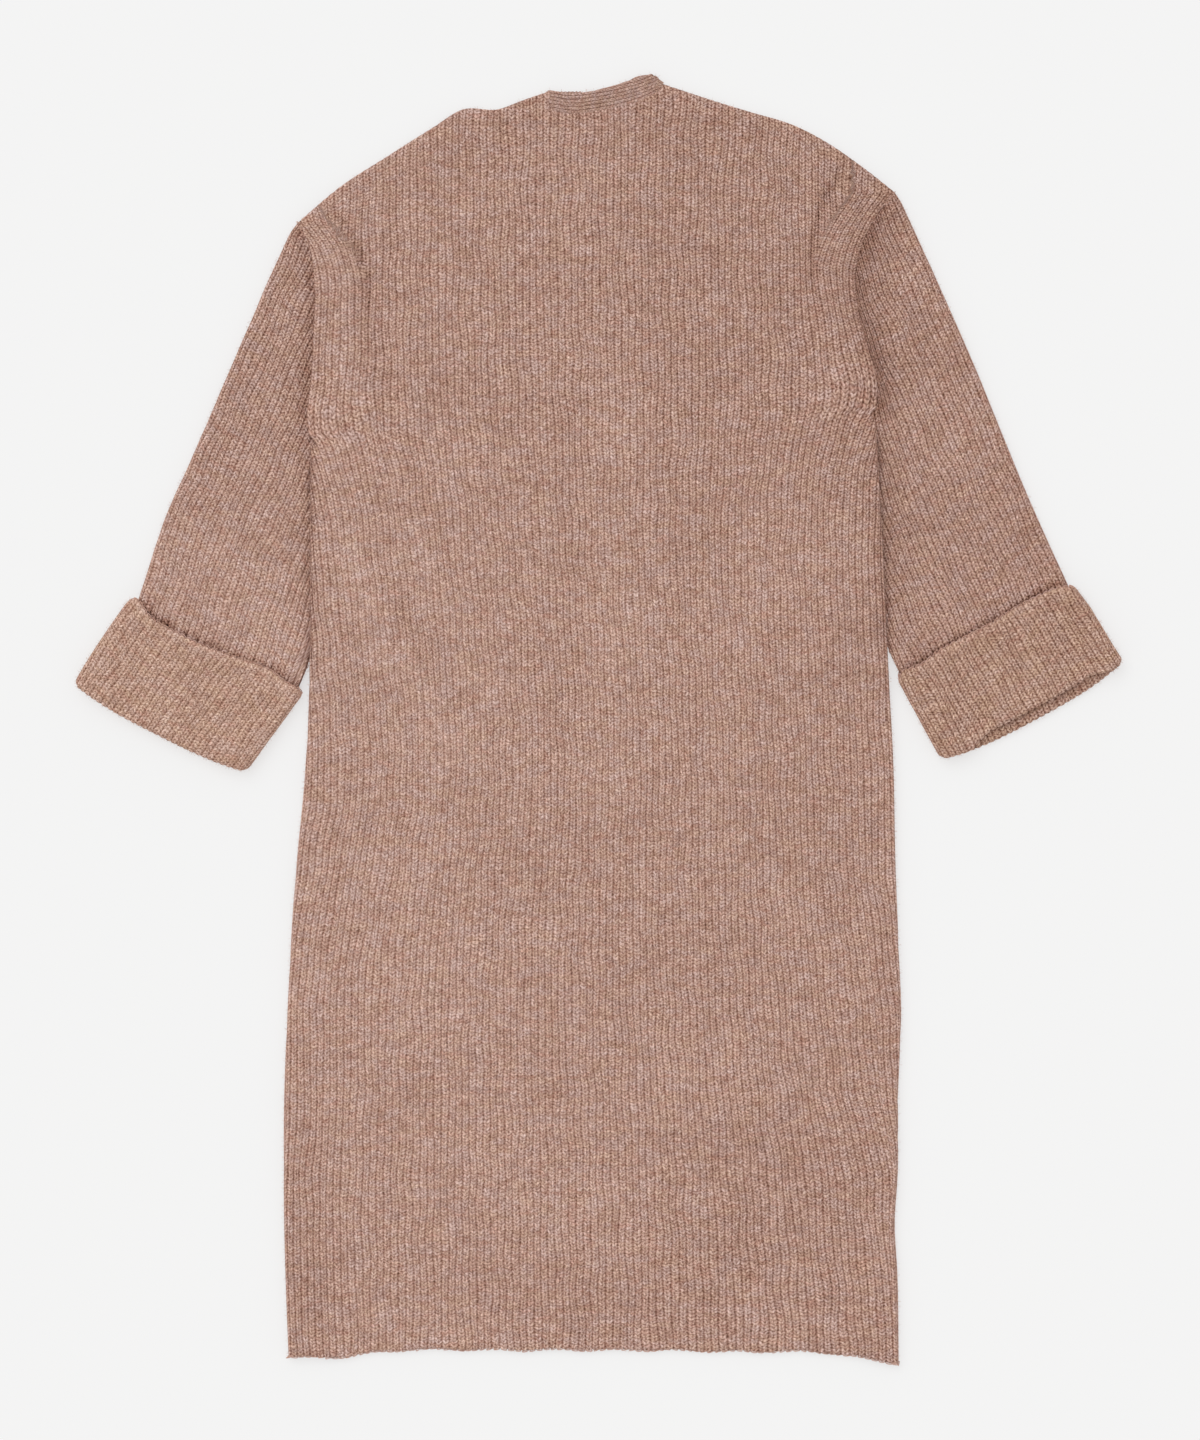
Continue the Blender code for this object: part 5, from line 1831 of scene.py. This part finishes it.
class CardiganSizes(bpy.types.PropertyGroup):
    """Sizes of the knit."""

    wale_pitch: size_setting("Wale", "Width of one rib of the panels", 0.0056)
    band_wale_pitch: size_setting("Band wale", "Width of one rib of the bands", 0.0031)
    rib_height: size_setting("Rib height", "Depth of the valley between two ribs", 0.0011)
    row_spacing: size_setting("Row spacing", "Distance between two rows of points of the panels", 0.007)


class CardiganColours(bpy.types.PropertyGroup):
    """Colours of the yarn and of the floor."""

    body: colour_setting("Yarn", "Main colour of the melange", (0.543, 0.338, 0.27))
    pale: colour_setting("Pale fibre", "Greyish pink fibre in the melange", (0.54, 0.368, 0.328))
    ochre: colour_setting("Ochre fibre", "Yellowish fibre in the melange", (0.53, 0.331, 0.228))
    dark: colour_setting("Dark fibre", "Reddish brown fibre in the melange", (0.47, 0.24, 0.178))
    floor: colour_setting("Floor", "Colour of the floor", (0.3, 0.3, 0.3))


def finish_piece(context, obj, slot, seed, chain=None):
    """Gives a panel its material and its loops and fibres, ties it to the frame's root body and hides its
    solid.
    """
    obj.data.materials.append(knit_of(slot, context))
    loose = loose_yarn(obj, seed, chain)
    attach(obj, "root")
    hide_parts(obj.name.removesuffix("_knit"))


class CARDIGAN_OT_back(bpy.types.Operator):
    """Knit the back panel"""

    bl_idname = "cardigan.back"
    bl_label = "Back"

    def execute(self, context):
        obj = back_panel(context.scene.cardigan_sizes)
        chain = ("cast off", BACK_WALES)
        finish_piece(context, obj, "rib_knit", SEEDS["back"], chain)
        return {"FINISHED"}


class CARDIGAN_OT_fronts(bpy.types.Operator):
    """Knit both fronts, which wrap round the side folds"""

    bl_idname = "cardigan.fronts"
    bl_label = "Fronts"

    def execute(self, context):
        sizes = context.scene.cardigan_sizes
        for side, sign in SIGNS.items():
            obj = front_panel(sizes, side)
            cut, seed = FRONT_CUTS[side], SEEDS["front"] + sign
            chain = ("cast off", round(cut[0] / sizes.wale_pitch))
            finish_piece(context, obj, "rib_knit", seed, chain)
        return {"FINISHED"}


class CARDIGAN_OT_bands(bpy.types.Operator):
    """Knit the neckband and the two front bands"""

    bl_idname = "cardigan.bands"
    bl_label = "Bands"

    def execute(self, context):
        sizes = context.scene.cardigan_sizes
        obj, seed, chain = neckband(sizes), SEEDS["neckband"], ("linked", NECK_STITCHES)
        finish_piece(context, obj, "band_knit", seed, chain)
        for side, sign in SIGNS.items():
            obj = front_band(sizes, side)
            finish_piece(context, obj, "band_knit", SEEDS["band"] + sign)
        return {"FINISHED"}


class CARDIGAN_OT_sleeves(bpy.types.Operator):
    """Knit both sleeves"""

    bl_idname = "cardigan.sleeves"
    bl_label = "Sleeves"

    def execute(self, context):
        for side, sign in SIGNS.items():
            obj = sleeve(context.scene.cardigan_sizes, side)
            seed, area, chain = SEEDS["sleeve"] + sign, SLEEVE_AREAS[side], ("linked", SLEEVE_STITCHES)
            finish_piece(context, obj, "rib_knit", seed, chain)
        return {"FINISHED"}


class CARDIGAN_OT_cuffs(bpy.types.Operator):
    """Knit both turned-back cuffs"""

    bl_idname = "cardigan.cuffs"
    bl_label = "Cuffs"

    def execute(self, context):
        for side, sign in SIGNS.items():
            obj = cuff(context.scene.cardigan_sizes, side)
            seed, chain = SEEDS["cuff"] + sign, ("cast off", CUFF_WALES)
            finish_piece(context, obj, "rib_knit", seed, chain)
        return {"FINISHED"}


def floor_material(colour):
    """Matt paper that glows a little, so that it stays even round the piece."""
    material = bpy.data.materials.new("floor paper")
    material.use_nodes = True
    shader = material.node_tree.nodes["Principled BSDF"]
    shader.inputs["Base Color"].default_value = (*colour, 1.0)
    shader.inputs["Roughness"].default_value = 1.0
    shader.inputs["Specular IOR Level"].default_value = 0.0
    shader.inputs["Emission Color"].default_value = (1, 1, 1, 1)
    shader.inputs["Emission Strength"].default_value = FLOOR_GLOW
    return material


class CARDIGAN_OT_stage(bpy.types.Operator):
    """Lay the floor and set the lights and the camera"""

    bl_idname = "cardigan.stage"
    bl_label = "Stage"

    def execute(self, context):
        scene = context.scene
        mesh = bpy.data.meshes.new("floor")
        half = FLOOR_SIZE / 2
        z = -FLOOR_GAP
        corners = [(-half, -half, z), (half, -half, z), (half, half, z), (-half, half, z)]
        mesh.from_pydata(corners, [], [(0, 1, 2, 3)])
        floor = bpy.data.objects.new("floor", mesh)
        scene.collection.objects.link(floor)
        mesh.materials.append(floor_material(scene.cardigan_colours.floor))

        world = bpy.data.worlds.new("studio")
        world.use_nodes = True
        background = world.node_tree.nodes["Background"]
        background.inputs["Color"].default_value = (1.0, 0.995, 0.985, 1)
        background.inputs["Strength"].default_value = WORLD_LIGHT
        scene.world = world
        scene.view_settings.view_transform = "Standard"

        light = bpy.data.lights.new("soft key", "SUN")
        light.energy = KEY_LIGHT
        light.angle = math.radians(KEY_SOFTNESS)
        key = bpy.data.objects.new("soft key", light)
        key.rotation_euler = (math.radians(KEY_FROM_TOP), math.radians(KEY_FROM_LEFT), 0)
        scene.collection.objects.link(key)

        data = bpy.data.cameras.new("camera")
        data.lens = LENS
        data.sensor_width = SENSOR
        data.clip_end = 50.0
        camera = bpy.data.objects.new("camera", data)
        shift = table_shift() * MM
        height = FRAME_HEIGHT * LENS / SENSOR + AIM_Z
        camera.location = (FRAME_MIDDLE_X * MM + shift[0], shift[1], height)
        scene.collection.objects.link(camera)
        scene.camera = camera
        return {"FINISHED"}


OPERATORS = (
    CARDIGAN_OT_stage,
    CARDIGAN_OT_back,
    CARDIGAN_OT_fronts,
    CARDIGAN_OT_bands,
    CARDIGAN_OT_sleeves,
    CARDIGAN_OT_cuffs,
)


class CARDIGAN_PT_panel(bpy.types.Panel):
    """Lists the sizes, the colours and the pieces"""

    bl_idname = "CARDIGAN_PT_panel"
    bl_label = "Cardigan"
    bl_space_type = "VIEW_3D"
    bl_region_type = "UI"
    bl_category = "Cardigan"

    def draw(self, context):
        for settings in (context.scene.cardigan_sizes, context.scene.cardigan_colours):
            for key in settings.__annotations__:
                self.layout.prop(settings, key)
        for operator in OPERATORS:
            self.layout.operator(operator.bl_idname)


CLASSES = (CardiganSizes, CardiganColours, *OPERATORS, CARDIGAN_PT_panel)


def register():
    """Adds the add-on's classes and its settings."""
    for cls in CLASSES:
        bpy.utils.register_class(cls)
    bpy.types.Scene.cardigan_sizes = bpy.props.PointerProperty(type=CardiganSizes)
    bpy.types.Scene.cardigan_colours = bpy.props.PointerProperty(type=CardiganColours)


def unregister():
    """Takes them away again."""
    del bpy.types.Scene.cardigan_colours
    del bpy.types.Scene.cardigan_sizes
    for cls in reversed(CLASSES):
        bpy.utils.unregister_class(cls)


def main():
    """Builds the stage and every piece."""
    register()
    for operator in OPERATORS:
        module, name = operator.bl_idname.split(".")
        getattr(getattr(bpy.ops, module), name)()


if __name__ == "__main__":
    main()
